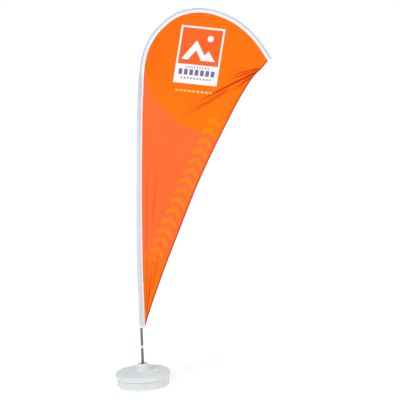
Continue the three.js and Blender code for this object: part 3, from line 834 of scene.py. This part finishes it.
# CAD nodes that show as they are, by finish
CARRIED_OVER = {
    water: ["water_ballast"],
    brass: ["threaded_insert"],
    steel: ["post_stud", "spindle", "retaining_clip", "rod_ferrule"],
    nylon: ["bearing_lower", "bearing_upper", "mast_guide_bush", "rod_reducer"],
    aluminium: ["joint_spigot", "mast_tube_upper"],
    fibreglass: ["rod_lower", "rod_tip"],
    rubber: ["rod_end_cap", "cap_gasket"],
}
for finish, names in CARRIED_OVER.items():
    for name in names:
        node_mesh = frame["nodes"][name].data
        node_mesh.materials.clear()
        node_mesh.materials.append(finish.material)


# ---- Base ----

TUB_TAPER = 6
TANK_WALL = 4
SKIRT_WALL = 6
FOOT_ROUND = 10
FOOT_RING = 44.5  # width of the ring that the tub stands on
HUB_HEIGHT = 55
HUB_ROOF = 11  # from the hub's top down to the hollow inside it
HUB_WAIST = 30  # from the hub's top down to where it flares
INSERT_BORE = 14.1
INSERT_WALL = 9
INSERT_DEPTH = 27
RECESS_RADIUS = 19
RECESS_DEPTH = 6
FILLER_BORE = 11
NECK_RADIUS = FILLER_BORE + 3
NECK_HEIGHT = 8

tub_high = corners("tank_bottom")[1]
lid_radius = lid_high.x
lip_radius = tub_high.x
lid_top = lid_high.z - HUB_HEIGHT
recess_floor = lid_high.z - RECESS_DEPTH
cap_low, cap_high = corners("filler_cap")
filler = ((cap_low.x + cap_high.x) / 2, (cap_low.y + cap_high.y) / 2)


def tub_wall(height):
    """Radius of the tub's outside, with its shallow grooves."""
    plain_wall = lip_radius - TUB_TAPER * (1 - height / skirt_bottom)
    return plain_wall - RIB_DEPTH * sum(math.exp(-((height - rib) / RIB_REACH)**2) for rib in RIBS)


foot = lip_radius - TUB_TAPER
tub = turned(np.vstack([
    rounded([
        (0, 1.4),
        (foot - FOOT_RING + 2.5, 1.4, 1),
        (foot - FOOT_RING, 0, 1),
        (foot, 0, FOOT_ROUND),
        (tub_wall(16), 16),
    ], steps=9),
    [(tub_wall(height), height) for height in np.arange(16.8, skirt_bottom - 5, 0.8)],
    rounded([
        *beside(
            lip_radius, skirt_bottom,
            (-0.5, -5), (-0.4, -4, 0.6), (-2.6, -2.6, 0.8), (-2.6, 0.6, 0.8), (0, 1.6, 0.6),
        ),
        (lip_radius, tub_high.z, 1.2),
        (lip_radius - TANK_WALL, tub_high.z, 1.2),
        (foot - TANK_WALL, FOOT_ROUND + TANK_WALL, 4),
        (foot - FOOT_ROUND, TANK_WALL, 6),
        (0, TANK_WALL),
    ]),
]), sides=192)
piece("tank_bottom_shell", tub, tank_plastic, ["tank_bottom"])

lid_outline = rounded([
    (INSERT_BORE, lid_top - INSERT_DEPTH),
    (INSERT_BORE + INSERT_WALL, lid_top - INSERT_DEPTH, 1.5),
    (INSERT_BORE + INSERT_WALL, lid_high.z - HUB_ROOF, 4),
    (43 - TANK_WALL, lid_high.z - HUB_ROOF, 6),
    (51 - TANK_WALL, lid_high.z - HUB_WAIST, 14),
    (59, lid_top, 9),
    (71, lid_top - TANK_WALL, 6),
    (lid_radius - 22, lid_top - TANK_WALL, 8),
    *beside(
        lid_radius, skirt_bottom,
        (-SKIRT_WALL, 14.3, 2), (-SKIRT_WALL, 0, 1.4), (-0.4, 0, 1.6), (0, 6, 2),
    ),
    *beside(lid_radius, lid_top, (0, -13, 12), (-8.5, -2.6, 11), (-24, 0, 9)),
    *beside(0, lid_top, (164, 0, 2), (160, -1.3, 2), (76, -0.4, 4), (63, 6, 9)),
    *beside(0, lid_high.z, (51, -HUB_WAIST, 14), (43, -5, 7), (37, 0, 4)),
    (RECESS_RADIUS + 1.5, lid_high.z, 1.2),
    (RECESS_RADIUS, recess_floor, 1),
    (INSERT_BORE, recess_floor, 0.6),
], closed=True, steps=7)
lid_mesh = turned(lid_outline, closed=True, sides=192)
lid = piece("tank_top_shell", lid_mesh, tank_plastic, ["tank_top"])
neck_top = lid_top + NECK_HEIGHT
neck = ring([
    (FILLER_BORE / 2, lid_top - TANK_WALL / 2),
    (NECK_RADIUS + 2.4, lid_top - TANK_WALL / 2),
    (NECK_RADIUS + 2.4, lid_top - 0.2, 0.3),
    (NECK_RADIUS, lid_top + 0.9, 0.8),
    (NECK_RADIUS, neck_top, 0.6),
    (FILLER_BORE / 2, neck_top),
], centre=filler)
cut_out(lid, neck, "UNION")
cut_out(lid, turned([
    (0, lid_top - 12), (FILLER_BORE, lid_top - 12), (FILLER_BORE, neck_top + 9), (0, neck_top + 9),
], centre=filler))

# The neck's thread, a low ridge that clears the cap and runs out at both ends
THREAD_TURNS = 1.6
THREAD_PITCH = 2.4
RUN_OUT = 0.8  # radians
turns = np.linspace(0, 2 * math.pi * THREAD_TURNS, 150)[:, None]
ridge = np.array([(-0.2, -0.7), (0.32, -0.2), (0.32, 0.2), (-0.2, 0.7)])
fade = smooth(turns, 0, RUN_OUT) * (1 - smooth(turns, turns[-1] - RUN_OUT, turns[-1]))
fade = np.maximum(fade, 0.15)
reach = NECK_RADIUS + ridge[:, 0] * fade
rise = lid_top + 3 + turns * THREAD_PITCH / (2 * math.pi) + ridge[:, 1] * fade
thread = np.stack(
    [filler[0] + reach * np.cos(turns), filler[1] + reach * np.sin(turns), rise], -1
)
piece("neck_thread", grid(thread * MM, wrap=True, caps=True), tank_plastic, [], "base")

CAP_BORE = 14.5
CAP_FLUTES = 20
CAP_TOP = 3.2  # thickness of its top
cap_radius = (cap_high.x - cap_low.x) / 2


def fluted(radius, angle, height):
    """Finger flutes round the cap's side, which fade out towards its top."""
    on_side = smooth(radius, cap_radius - 1.2, cap_radius - 0.6)
    on_side = on_side * smooth(height, cap_high.z, cap_high.z - 2)
    return radius - 0.35 * on_side * (1 - np.cos(CAP_FLUTES * angle))


cap = turned(rounded([
    *beside(0, cap_high.z, (0, -0.7), (8.6, -0.7, 1), (9.8, 0, 1), (cap_radius, 0, 2.2)),
    *beside(0, cap_low.z, (cap_radius, 1.4, 0.6), (cap_radius, 0, 0.5), (CAP_BORE, 0, 0.4)),
    *beside(0, cap_high.z - CAP_TOP, (CAP_BORE, 0, 0.4), (0, 0)),
], steps=7), sides=240, centre=filler, radius_at=fluted)
piece("filler_cap_shell", cap, cap_plastic, ["filler_cap"])


# ---- Post, nut, collar and lower tube ----

POST_BORE = 7.7
WASHER_BORE = 5.3
STUD_BORE = 8.3
PIN_BORE = 4.8
NUT_CHAMFER = 0.8

post_low, post_high = corners("post")
nut_low, nut_high = corners("post_nut")
washer_low, washer_high = corners("thrust_washer")
collar_low, collar_high = corners("spindle_collar")
post_radius, collar_radius = post_high.x, collar_high.x


def tube_section(outer, inner, low, high, edge):
    return [(inner, low, edge), (outer, low, edge), (outer, high, edge), (inner, high, edge)]


post_section = tube_section(post_radius, POST_BORE, post_low.z, post_high.z, 0.5)
piece("post_tube", ring(post_section), post_steel, ["post"])

apothem = nut_high.x * math.cos(math.pi / 6)


def hexagonal(radius, angle, height):
    """Six flats, with the corners turned off towards both faces."""
    flat = apothem / np.cos((angle + math.pi / 6) % (math.pi / 3) - math.pi / 6)
    depth = np.minimum(height - nut_low.z, nut_high.z - height)
    outside = radius > STUD_BORE + 2.5
    return np.where(outside, np.minimum(flat, apothem - 0.3 + depth * 1.7), radius)


nut_height = nut_high.z - nut_low.z
nut_outside = [
    (nut_high.x, nut_low.z + nut_height * share)
    for share in (0, 0.03, 0.06, 0.1, 0.15, 0.2, 0.3, 0.5, 0.7, 0.8, 0.85, 0.9, 0.94, 0.97, 1)
]
piece("lock_nut", turned([
    (STUD_BORE, nut_low.z + NUT_CHAMFER), (STUD_BORE + NUT_CHAMFER, nut_low.z), *nut_outside,
    (STUD_BORE + NUT_CHAMFER, nut_high.z), (STUD_BORE, nut_high.z - NUT_CHAMFER),
], closed=True, sides=180, radius_at=hexagonal), steel, ["post_nut"])

washer_section = tube_section(post_radius, WASHER_BORE, washer_low.z, washer_high.z, 0.3)
piece("washer_ring", ring(washer_section), steel, ["thrust_washer"])
piece("collar_ring", ring([
    (PIN_BORE, collar_low.z, 0.5),
    *beside(collar_radius, collar_low.z, (0, 0, 1.6), (0, 5.4, 0.4), (-0.5, 6, 0.4)),
    *beside(collar_radius, collar_high.z, (-0.5, -6, 0.4), (0, -5.4, 0.4), (0, 0, 1.6)),
    (PIN_BORE, collar_high.z, 0.5),
]), nylon, ["spindle_collar"])


ROW_STEP = 25  # between rows along the mast


def on_mast(outline, start):
    """A ring on the mast, from a closed (radius, distance) outline in millimetres."""
    fine = []
    outline = rounded(outline, closed=True)
    for here, there in zip(outline, np.roll(outline, -1, axis=0)):
        steps = max(1, int(abs(there[1] - here[1]) / ROW_STEP))
        fine += [here + (there - here) * i / steps for i in range(steps)]
    fine = np.array(fine)
    angle = np.linspace(0, 2 * math.pi, 64, endpoint=False)
    circle = stack(np.cos(angle), np.sin(angle))
    sections = fine[:, :1, None] * circle
    return swept((start + fine[:, 1]) * MM, sections, wrap=True, loop=True)


tube = on_mast(tube_section(TUBE_RADIUS, TUBE_BORE, 0, TUBE_LENGTH, 0.5), TUBE_START)
piece("lower_tube", tube, aluminium, ["mast_tube_lower"])
bush = on_mast([
    (6.3, 0, 0.4), (TUBE_RADIUS, 0, 0.7), (TUBE_RADIUS, 2.3, 0.5), (7.7, 2.3, 0.3),
    (7.7, 32, 0.8), (6.3, 32, 0.3),
], 0)
piece("foot_bush", bush, nylon, ["mast_bush"])


# ---- Pole sleeve ----

# Half the pocket's thickness
ROUND_TUBE = 10.6
ROUND_ROD = 5.75
TIP_ROD_THINNER = 0.5
FERRULE_SWELL = 1.6
CAP_SWELL = 0.75
# How much farther the pocket hangs out on the side away from the flag
LOOSE = 5.6
TIGHT = 1.0


def sleeve_half(distance):
    """Half the pocket's thickness at a distance along the mast, in millimetres."""
    rod = ROUND_ROD - TIP_ROD_THINNER * smooth(distance, FERRULE, FERRULE + 20)
    rod = rod + FERRULE_SWELL * np.exp(-((distance - FERRULE) / 42)**4)
    rod = rod + CAP_SWELL * smooth(distance, last - END_CAP_LENGTH - 14, last - END_CAP_LENGTH)
    return ROUND_TUBE + (rod - ROUND_TUBE) * smooth(distance, ROD_FOOT - 8, ROD_FOOT + 46)


def sleeve_outer(distance):
    """How far the pocket reaches on the side away from the flag."""
    slack = LOOSE - (LOOSE - TIGHT) * smooth(distance, 560, 1250)
    slack = slack * (1 - 0.4 * smooth(distance, ROD_FOOT, ROD_FOOT + 200))
    return sleeve_half(distance) + slack


SEAM_LIP = 0.75  # half the pocket's thickness at its seam


def sleeve_section(distance, ripple):
    """The pocket round the pole and drawn in to its seam, as an open outline."""
    half, outer = sleeve_half(distance), sleeve_outer(distance) + ripple
    seam_angle = math.atan2(SEAM_LIP, POCKET_REACH)
    leave = seam_angle + math.acos(half / math.hypot(SEAM_LIP, POCKET_REACH))
    back = np.linspace(math.pi, math.pi / 2, 13)
    front = np.linspace(math.pi / 2, leave, 7)[1:]
    start = half * np.array([math.cos(leave), math.sin(leave)])
    share = np.linspace(0, 1, 10)[1:, None]
    flank = start + share * (np.array([POCKET_REACH, SEAM_LIP]) - start)
    flank[:, 1] -= 0.5 * np.sin(math.pi * share[:, 0]) * ripple / 2
    upper = np.vstack([
        stack(outer * np.cos(back), half * np.sin(back)),
        stack(half * np.cos(front), half * np.sin(front)),
        flank,
    ])
    return np.vstack([upper[::-1], upper[1:] * (1, -1)])


def ripples(distance, waves):
    """Slow unevenness along the cloth, the same at every run."""
    made = np.zeros_like(distance)
    for length, size in waves:
        made += size * np.sin(2 * math.pi * (distance / length + rng.random()))
    return made


MOUTH_SEAM = 18.5  # from the sleeve's mouth to the stitches of its turned-up edge
last = mast.length / MM
sleeve_run = np.concatenate([
    SLEEVE_START + np.array([0, 0.8, 2, 4, 8, 13, 17, MOUTH_SEAM, 20, 22, 26]),
    np.arange(SLEEVE_START + 32, last - 4, 7.0),
    [last - 2, last],
])
sleeve_ripple = ripples(sleeve_run, ((310, 0.5), (127, 0.35), (61, 0.22), (23, 0.12)))
sections = np.stack([sleeve_section(d, r) for d, r in zip(sleeve_run, sleeve_ripple)])
# The mouth is turned up inside and stitched: a fuller edge, nipped in at its stitch line
from_mouth = sleeve_run - SLEEVE_START
fuller = 1 + 0.035 * (1 - smooth(from_mouth, 13, 22))
fuller = (fuller - 0.03 * np.exp(-((from_mouth - MOUTH_SEAM) / 2.5)**2))[:, None]
sections[..., 1] *= fuller
outwards = sections[..., 0]
sections[..., 0] = np.where(outwards < 0, outwards * fuller, outwards)
# Painted shade where the pole shows through the cloth: broadly over the tubes, as a thin line over the rods
ROD_RADIUS = 5
BESIDE_TUBE = 0.45
beyond_tube = smooth(sleeve_run, ROD_FOOT - 90, ROD_FOOT + 90)[:, None]
pole_width = TUBE_RADIUS - (TUBE_RADIUS - ROD_RADIUS) * beyond_tube
narrowed = BESIDE_TUBE + (1 - BESIDE_TUBE) * beyond_tube
pole_shade = 1 - narrowed * smooth(np.abs(sections[..., 0]), pole_width - 1, pole_width + 8)
pole_shade *= smooth(from_mouth, 10, 22)[:, None]
sleeve_mesh = swept(sleeve_run * MM, sections, shade=pole_shade)
sleeve = piece("pole_sleeve_cloth", sleeve_mesh, sleeve_white, ["pole_sleeve"])
thicken(sleeve)
round_it = np.linalg.norm(np.diff(sections, axis=1), axis=2).sum(axis=1)
sleeve_area = float(np.trapz(round_it, sleeve_run)) * MM * MM

# The pocket's end beyond the pole's tip, folded flat and sewn shut
end_section = sleeve_section(last, 0)
tuck = np.array([(0.25, 1), (1.0, 0.98), (2.0, 0.85), (2.9, 0.6), (3.4, 0.3)])  # (past it, size)
end_sections = np.stack([end_section * (1 - 0.06 * (1 - s), s) for _, s in tuck])
end_mesh = swept((last + tuck[:, 0]) * MM, end_sections, wrap=True, caps=True)
tip_cloth = piece("tip_pocket_cloth", end_mesh, band_white, ["tip_pocket"])


# ---- Seam band ----

LIP = 27.2  # where the band's folded edge ends, over the printed cloth
band_outline = np.array(mirrored([
    (15.4, -0.42), (18.6, -0.55), (21.6, -0.6), (22.6, -0.92), (24.8, -1.02), (26.8, -0.98),
    (LIP, -0.7), (26.8, -0.45), (23.6, -0.4),
]))
band_run = np.concatenate([np.arange(SLEEVE_START, last - 3, 8.0), [last]])
band_sections = np.repeat(band_outline[None], len(band_run), axis=0)
band_sections[..., 1] += ripples(band_run, ((83, 0.12), (31, 0.08)))[:, None]
band_mesh = swept(band_run * MM, band_sections, wrap=True, caps=True)
band = piece("seam_band_cloth", band_mesh, band_white, ["seam_band"])

EYELET_BORE = 1.9
eyelet_low, eyelet_high = corners("tension_eyelet")
eyelet_middle = (eyelet_low + eyelet_high) / 2


def through_cloth(mesh):
    """Turns a solid made about Z to lie across the cloth, at the eyelet."""
    place = np.array([vertex.co for vertex in mesh.vertices])
    turned_over = stack(place[:, 0], -place[:, 2], place[:, 1])
    placed = turned_over + np.array(eyelet_middle) * MM
    mesh.vertices.foreach_set("co", placed.astype(np.float32).ravel())
    tidy_mesh(mesh)
    return mesh


cut_out(band, through_cloth(turned([(0, -6), (2.5, -6), (2.5, 6), (0, 6)], sides=40)))
grommet = through_cloth(ring(mirrored([
    (EYELET_BORE, -1.5, 0.5), (3.6, -1.5, 0.7), (3.6, -1.15, 0.2), (2.35, -1.1, 0.2),
]), sides=64))
piece("tension_grommet", grommet, steel, ["tension_eyelet"])


# ---- Printed cloth ----

# Folds: (bearing, start, end, depth, width at start, width at end), from the flag's corners
TIP_DROP = 35
TIP_FOLDS = [
    (205.2, 40, 680, 6.2, 4.6, 13),
    (207.2, 60, 320, 3.6, 4.2, 8),
    (198.6, 30, 360, 4.4, 4.4, 11),
    (193.0, 60, 340, 3.6, 4.6, 11),
    (212.6, 70, 380, 4.2, 4.6, 12),
    (222.0, 60, 300, 2.6, 4, 9),
    (187.0, 120, 360, 1.2, 6, 12),
    (209.0, 300, 820, 2.0, 14, 30),
]
TAIL_FOLDS = [
    (80.8, 60, 520, 3.0, 3.0, 10),
    (86.0, 90, 640, 2.0, 3.4, 11),
    (87.0, 520, 1500, 1.0, 10, 20),
    (77.5, 240, 700, 1.2, 7, 14),
    (83.5, 700, 1400, 0.9, 13, 26),
]


def folds(x, z):
    """How far the cloth stands back at (x, z) metres, in metres, and how much painted shade its creases get."""
    back, painted_shade = np.zeros_like(x), np.zeros_like(x)
    starts = [((tip[0], tip[1] - TIP_DROP * MM), fold) for fold in TIP_FOLDS]
    starts += [(tail, fold) for fold in TAIL_FOLDS]
    for origin, (bearing, near, far, depth, narrow, wide) in starts:
        way = np.array([math.cos(math.radians(bearing)), math.sin(math.radians(bearing))])
        run = (x - origin[0]) * way[0] + (z - origin[1]) * way[1]
        off = (x - origin[0]) * way[1] - (z - origin[1]) * way[0]
        share = np.clip((run / MM - near) / (far - near), 0, 1)
        off = off / MM + 5 * np.sin(2.6 * share + bearing) * share
        place = off / (narrow + (wide - narrow) * share)
        fade = smooth(share, 0, 0.14) * (1 - smooth(share, 0.3, 1))
        valley = np.exp(-(place**2))
        ridges = 0.55 * np.exp(-((place - 1.8)**2)) + 0.4 * np.exp(-((place + 1.8)**2))
        back += depth * MM * fade * (valley - ridges)
        # Painted shade along each crease, narrower than its valley
        painted_shade += 0.32 * depth * fade * np.exp(-((place * 1.45)**2))
    return back, np.clip(painted_shade, 0, 1)


def cloth_depth(x, z, across, up, width):
    """The same with the cloth's slow waves, and with painted shade beside the seam and along the free edge below the
    tip.

    Across runs from 0 at the seam to 1 at the free edge, up from the tail to the tip, and width
    is the cloth's own from seam to edge, in millimetres.
    """
    back, painted_shade = folds(x, z)
    bow = 5 * np.sin(math.pi * across) * np.sin(math.pi * up)
    slow = 1.6 * np.sin(7.5 * x + 3.1 * z + 0.6) * np.cos(4.3 * z - 2.2 * x) * across
    from_seam = across * width
    held = smooth(from_seam, 3.5, 26)
    ends = smooth(up, 0.0, 0.02) * (1 - smooth(up, 0.985, 1.0))
    # Painted shade: a dark line beside the seam, and darker cloth along the free edge below the tip
    seam_shade = 0.42 * np.exp(-((from_seam - 4) / 4)**2)
    below_tip = smooth(up, 0.72, 0.8) * (1 - smooth(up, 0.93, 0.97))
    edge_shade = 0.6 * np.exp(-((width - from_seam) / 14)**2) * below_tip
    shaded = np.clip(painted_shade * held * ends + seam_shade + edge_shade, 0, 1)
    return (back * ends - (bow + slow * ends) * MM) * held, shaded


PANEL_ROWS = 380
PANEL_COLUMNS = 128
TUCKED_IN = 2.6  # of the printed cloth under the band and inside the hem


def crowded(count, low, high, extra):
    """Shares from 0 to 1 that lie closer together between low and high, where the folds are."""
    even = np.linspace(0, 1, 2000)
    inside = smooth(even, low - 0.1, low) * (1 - smooth(even, high, high + 0.1))
    weight = np.cumsum(1 + extra * inside)
    weight = (weight - weight[0]) / (weight[-1] - weight[0])
    return np.interp(np.linspace(0, 1, count), weight, even)


up = crowded(PANEL_ROWS, 0.72, 0.95, 3)
seam_start = PANEL_START + 8
seam_run = seam_start + (last - 2.5 - seam_start) * up
seam_side = mast.at(seam_run * MM, (PANEL_EDGE - TUCKED_IN) * MM)
edge_run = free_edge.length * (1 - up)
edge_side = free_edge.at(
    np.clip(edge_run, 3 * MM, free_edge.length - 9 * MM), TUCKED_IN * MM
)
across = crowded(PANEL_COLUMNS, 0.5, 1, 2)[None, :, None]
flat = seam_side[:, None] * (1 - across) + edge_side[:, None] * across
row_width = np.linalg.norm(edge_side - seam_side, axis=1) / MM
depth, painted_shade = cloth_depth(
    flat[..., 0], flat[..., 1], across[..., 0], up[:, None], row_width[:, None]
)
flag_mesh = grid(stack(flat[..., 0], depth, flat[..., 1]), shade=painted_shade)
flag = piece("flag_cloth", flag_mesh, flag_print, ["flag_panel"])
thicken(flag)

# The hem folds round the free edge: an outline of (in from the edge, depth)
hem_outline = np.array([
    (9, -0.5), (9.2, -0.85), (8.6, -1.05), (4.5, -1.12), (1.2, -1.0), (0.2, -0.6), (0, 0),
    (0.2, 0.6), (1.2, 1.0), (4.5, 1.12), (8.6, 1.05), (9.2, 0.85), (9, 0.5), (4, 0.42),
    (1.4, 0.36), (1.4, -0.36), (4, -0.42),
])


def on_edge(distance, inset, stand=0.0):
    """Places at distances along the free edge, in from it by inset, on the waving cloth."""
    place = free_edge.at(distance * MM, inset * MM)
    up_share = 1 - distance * MM / free_edge.length
    width = np.interp(up_share, up, row_width)
    across_share = 1 - (inset - TUCKED_IN) / width
    back = cloth_depth(place[..., 0], place[..., 1], across_share, up_share, width)[0]
    return stack(place[..., 0], back + stand * MM, place[..., 1])


def clear_of_band(places):
    """Keeps the hem's ends out of the seam band at both corners."""
    for distance, corner in ((PANEL_START, tail), (last, tip)):
        way = mast.along(distance * MM)
        inward = np.array([way[1], -way[0]])
        start = mast.at(distance * MM, (LIP + 0.3) * MM)
        short = (start - places[..., [0, 2]]) @ inward
        near = np.linalg.norm(places[..., [0, 2]] - corner, axis=-1) < 0.05
        push = np.where(near, np.maximum(short, 0), 0)
        places[..., 0] += push * inward[0]
        places[..., 2] += push * inward[1]
    return places


edge_last = free_edge.length / MM
hem_run = np.concatenate([[1.5], np.arange(5, edge_last - 12, 5.0), [edge_last - 8]])
hem_places = on_edge(
    hem_run[:, None] + np.zeros(len(hem_outline)),
    np.broadcast_to(hem_outline[:, 0], (len(hem_run), len(hem_outline))),
    hem_outline[None, :, 1] * (1 + 0.12 * np.sin(hem_run / 9))[:, None],
)
hem_mesh = grid(clear_of_band(hem_places), wrap=True, caps=True)
hem = piece("free_edge_hem_cloth", hem_mesh, hem_orange, ["free_edge_hem"])


# ---- Stitching ----

STITCH_PITCH = 4.6
MOUTH_PITCH = 3.6


def band_row(across, y, skipped):
    """A row of stitches along the seam band, without its first few."""
    run = np.arange(SLEEVE_START + 3, last - 4, STITCH_PITCH)[skipped:]
    ways = in_space(mast.along(run * MM))
    places = mast.place(run * MM, np.full(len(run), across * MM), y * MM)
    return places, ways, out_of_plane(ways, np.sign(y))


# The inner row, and the outer row, which starts above the eyelet
band_rows = [
    band_row(across, side * y, skipped)
    for across, y, skipped in ((18.2, 0.62, 0), (25.2, 1.08, 8))
    for side in (-1, 1)
]
hem_stitch_run = np.arange(26, edge_last - 30, STITCH_PITCH)
hem_ways = in_space(free_edge.along(hem_stitch_run * MM))
hem_rows = [
    (on_edge(hem_stitch_run, np.full(len(hem_stitch_run), 7.2), side * 1.16), hem_ways,
     out_of_plane(hem_ways, side))
    for side in (-1, 1)
]


def mouth_row(offset):
    """A row of stitches round the sleeve's mouth, on its outside."""
    row = int(np.abs(from_mouth - offset).argmin())
    outline = sections[row]
    steps = np.linalg.norm(np.diff(outline, axis=0), axis=1)
    run = np.concatenate([[0], np.cumsum(steps)])
    at = np.arange(MOUTH_PITCH, run[-1] - MOUTH_PITCH, MOUTH_PITCH)
    way = np.gradient(outline, run, axis=0)
    place, way = (
        np.stack([np.interp(at, run, values[:, i]) for i in (0, 1)], -1)
        for values in (outline, way)
    )
    way /= np.linalg.norm(way, axis=1)[:, None]
    out = stack(-way[:, 1], way[:, 0])
    out *= np.sign((out * (place - (3, 0))).sum(axis=1))[:, None]
    place = place + out * (CLOTH / 2 + 0.05)
    height = np.full(len(at), (SLEEVE_START + offset) * MM)
    places = mast.place(height, place[:, 0] * MM, place[:, 1] * MM)
    return places, *(np.hstack([part, np.zeros((len(at), 1))]) for part in (way, out))


band_thread = piece("band_stitching", stitches(band_rows), thread_white, [], "mast")
mouth_stitches = stitches([mouth_row(MOUTH_SEAM), mouth_row(2)], 2.7)
mouth_thread = piece("mouth_stitching", mouth_stitches, thread_white, [], "mast")
hem_thread = piece("hem_stitching", stitches(hem_rows), thread_orange, [], "mast")

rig.sheet(
    flag, flat=(0.98, 2.26), held="stretched", area=0.985, rests_on=["seam_band_cloth"],
    with_pieces=[hem, band, band_thread, hem_thread],
)
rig.sheet(
    sleeve, flat=(0.08, 3.24), held="stretched", area=sleeve_area,
    rests_on=["lower_tube", "mast_tube_upper", "rod_lower", "rod_tip"],
    with_pieces=[tip_cloth, mouth_thread],
)


# ---- Stage, light and camera ----

def lamp(name, place, aim, size, power):
    data = bpy.data.lights.new(name, "AREA")
    data.shape = "DISK"
    data.size = size
    data.energy = power
    obj = add(name, data)
    obj.location = place
    obj.rotation_euler = (Vector(aim) - Vector(place)).to_track_quat("-Z", "Y").to_euler()


# The floor glows a little more farther out, so that it stays as white where the lamps fade
FLOOR_RADIUS = 40
FLOOR_GLOW = (0.3, 3.2, 0.36, 0.65)
FLOOR_GREY = (238.61, 238.61, 238.61)
floor_mesh = grid(np.array([
    [(radius * math.cos(a), radius * math.sin(a), 0) for a in np.linspace(0, 2 * math.pi, 64)[:-1]]
    for radius in (0.001, 1, 3, 10, FLOOR_RADIUS)
]), wrap=True)
floor_paint = Finish("floor", Specular_IOR_Level=0.1)
glow = floor_paint.rise(floor_paint.distance(floor_paint.place, (0, 0, 0)), *FLOOR_GLOW)
floor_paint.put(floor_paint.shader.inputs["Emission Strength"], glow)
floor_paint.shader.inputs["Emission Color"].default_value = (1, 1, 1, 1)
floor_paint.finish(FLOOR_GREY, 0.9)
floor_mesh.materials.append(floor_paint.material)
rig.stage(add("floor", floor_mesh))

# Soft grey-white light from all round, and a plain white backdrop in the picture
world = bpy.data.worlds.new("studio")
world.use_nodes = True
bpy.context.scene.world = world
sky = world.node_tree.nodes["Background"]
sky.inputs["Color"].default_value = (0.97, 0.985, 1, 1)
sky.inputs["Strength"].default_value = 0.45
seen, ray, both = (
    world.node_tree.nodes.new("ShaderNode" + kind)
    for kind in ("Background", "LightPath", "MixShader")
)
link = world.node_tree.links.new
link(ray.outputs["Is Camera Ray"], both.inputs[0])
link(sky.outputs[0], both.inputs[1])
link(seen.outputs[0], both.inputs[2])
link(both.outputs[0], world.node_tree.nodes["World Output"].inputs["Surface"])
seen.inputs["Color"].default_value = (1, 1, 1, 1)

lamp("key", (-2.6, -3.4, 4.2), (0.3, 0, 1.2), 2.2, 84)
lamp("fill", (3.4, -3.0, 2.0), (0.4, 0, 1.3), 2.6, 24)
lamp("top", (0.1, -0.7, 6), (0, 0, 0.1), 1.8, 44)
lamp("back", (0.8, 3.4, 3.6), (0.3, 0, 1.2), 2.4, 26)

# As in the photo, where the pole leans a little because the camera does
CAMERA_LEAN = math.radians(-2.2)
camera_data = bpy.data.cameras.new("camera")
camera_data.sensor_width = 36
camera_data.lens = 56.63
camera = add("camera", camera_data)
camera.location = (0.464, -4.6, 1.328)
upright = Matrix.Rotation(math.radians(90), 4, "X")
camera.rotation_euler = (upright @ Matrix.Rotation(CAMERA_LEAN, 4, "Z")).to_euler()
bpy.context.scene.camera = camera
bpy.context.scene.view_settings.view_transform = "Standard"

with open("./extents.json", "w") as file:
    boxes = {"cad": cad_box, "visual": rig.bounds()}
    json.dump({name: [list(corner) for corner in box] for name, box in boxes.items()}, file)
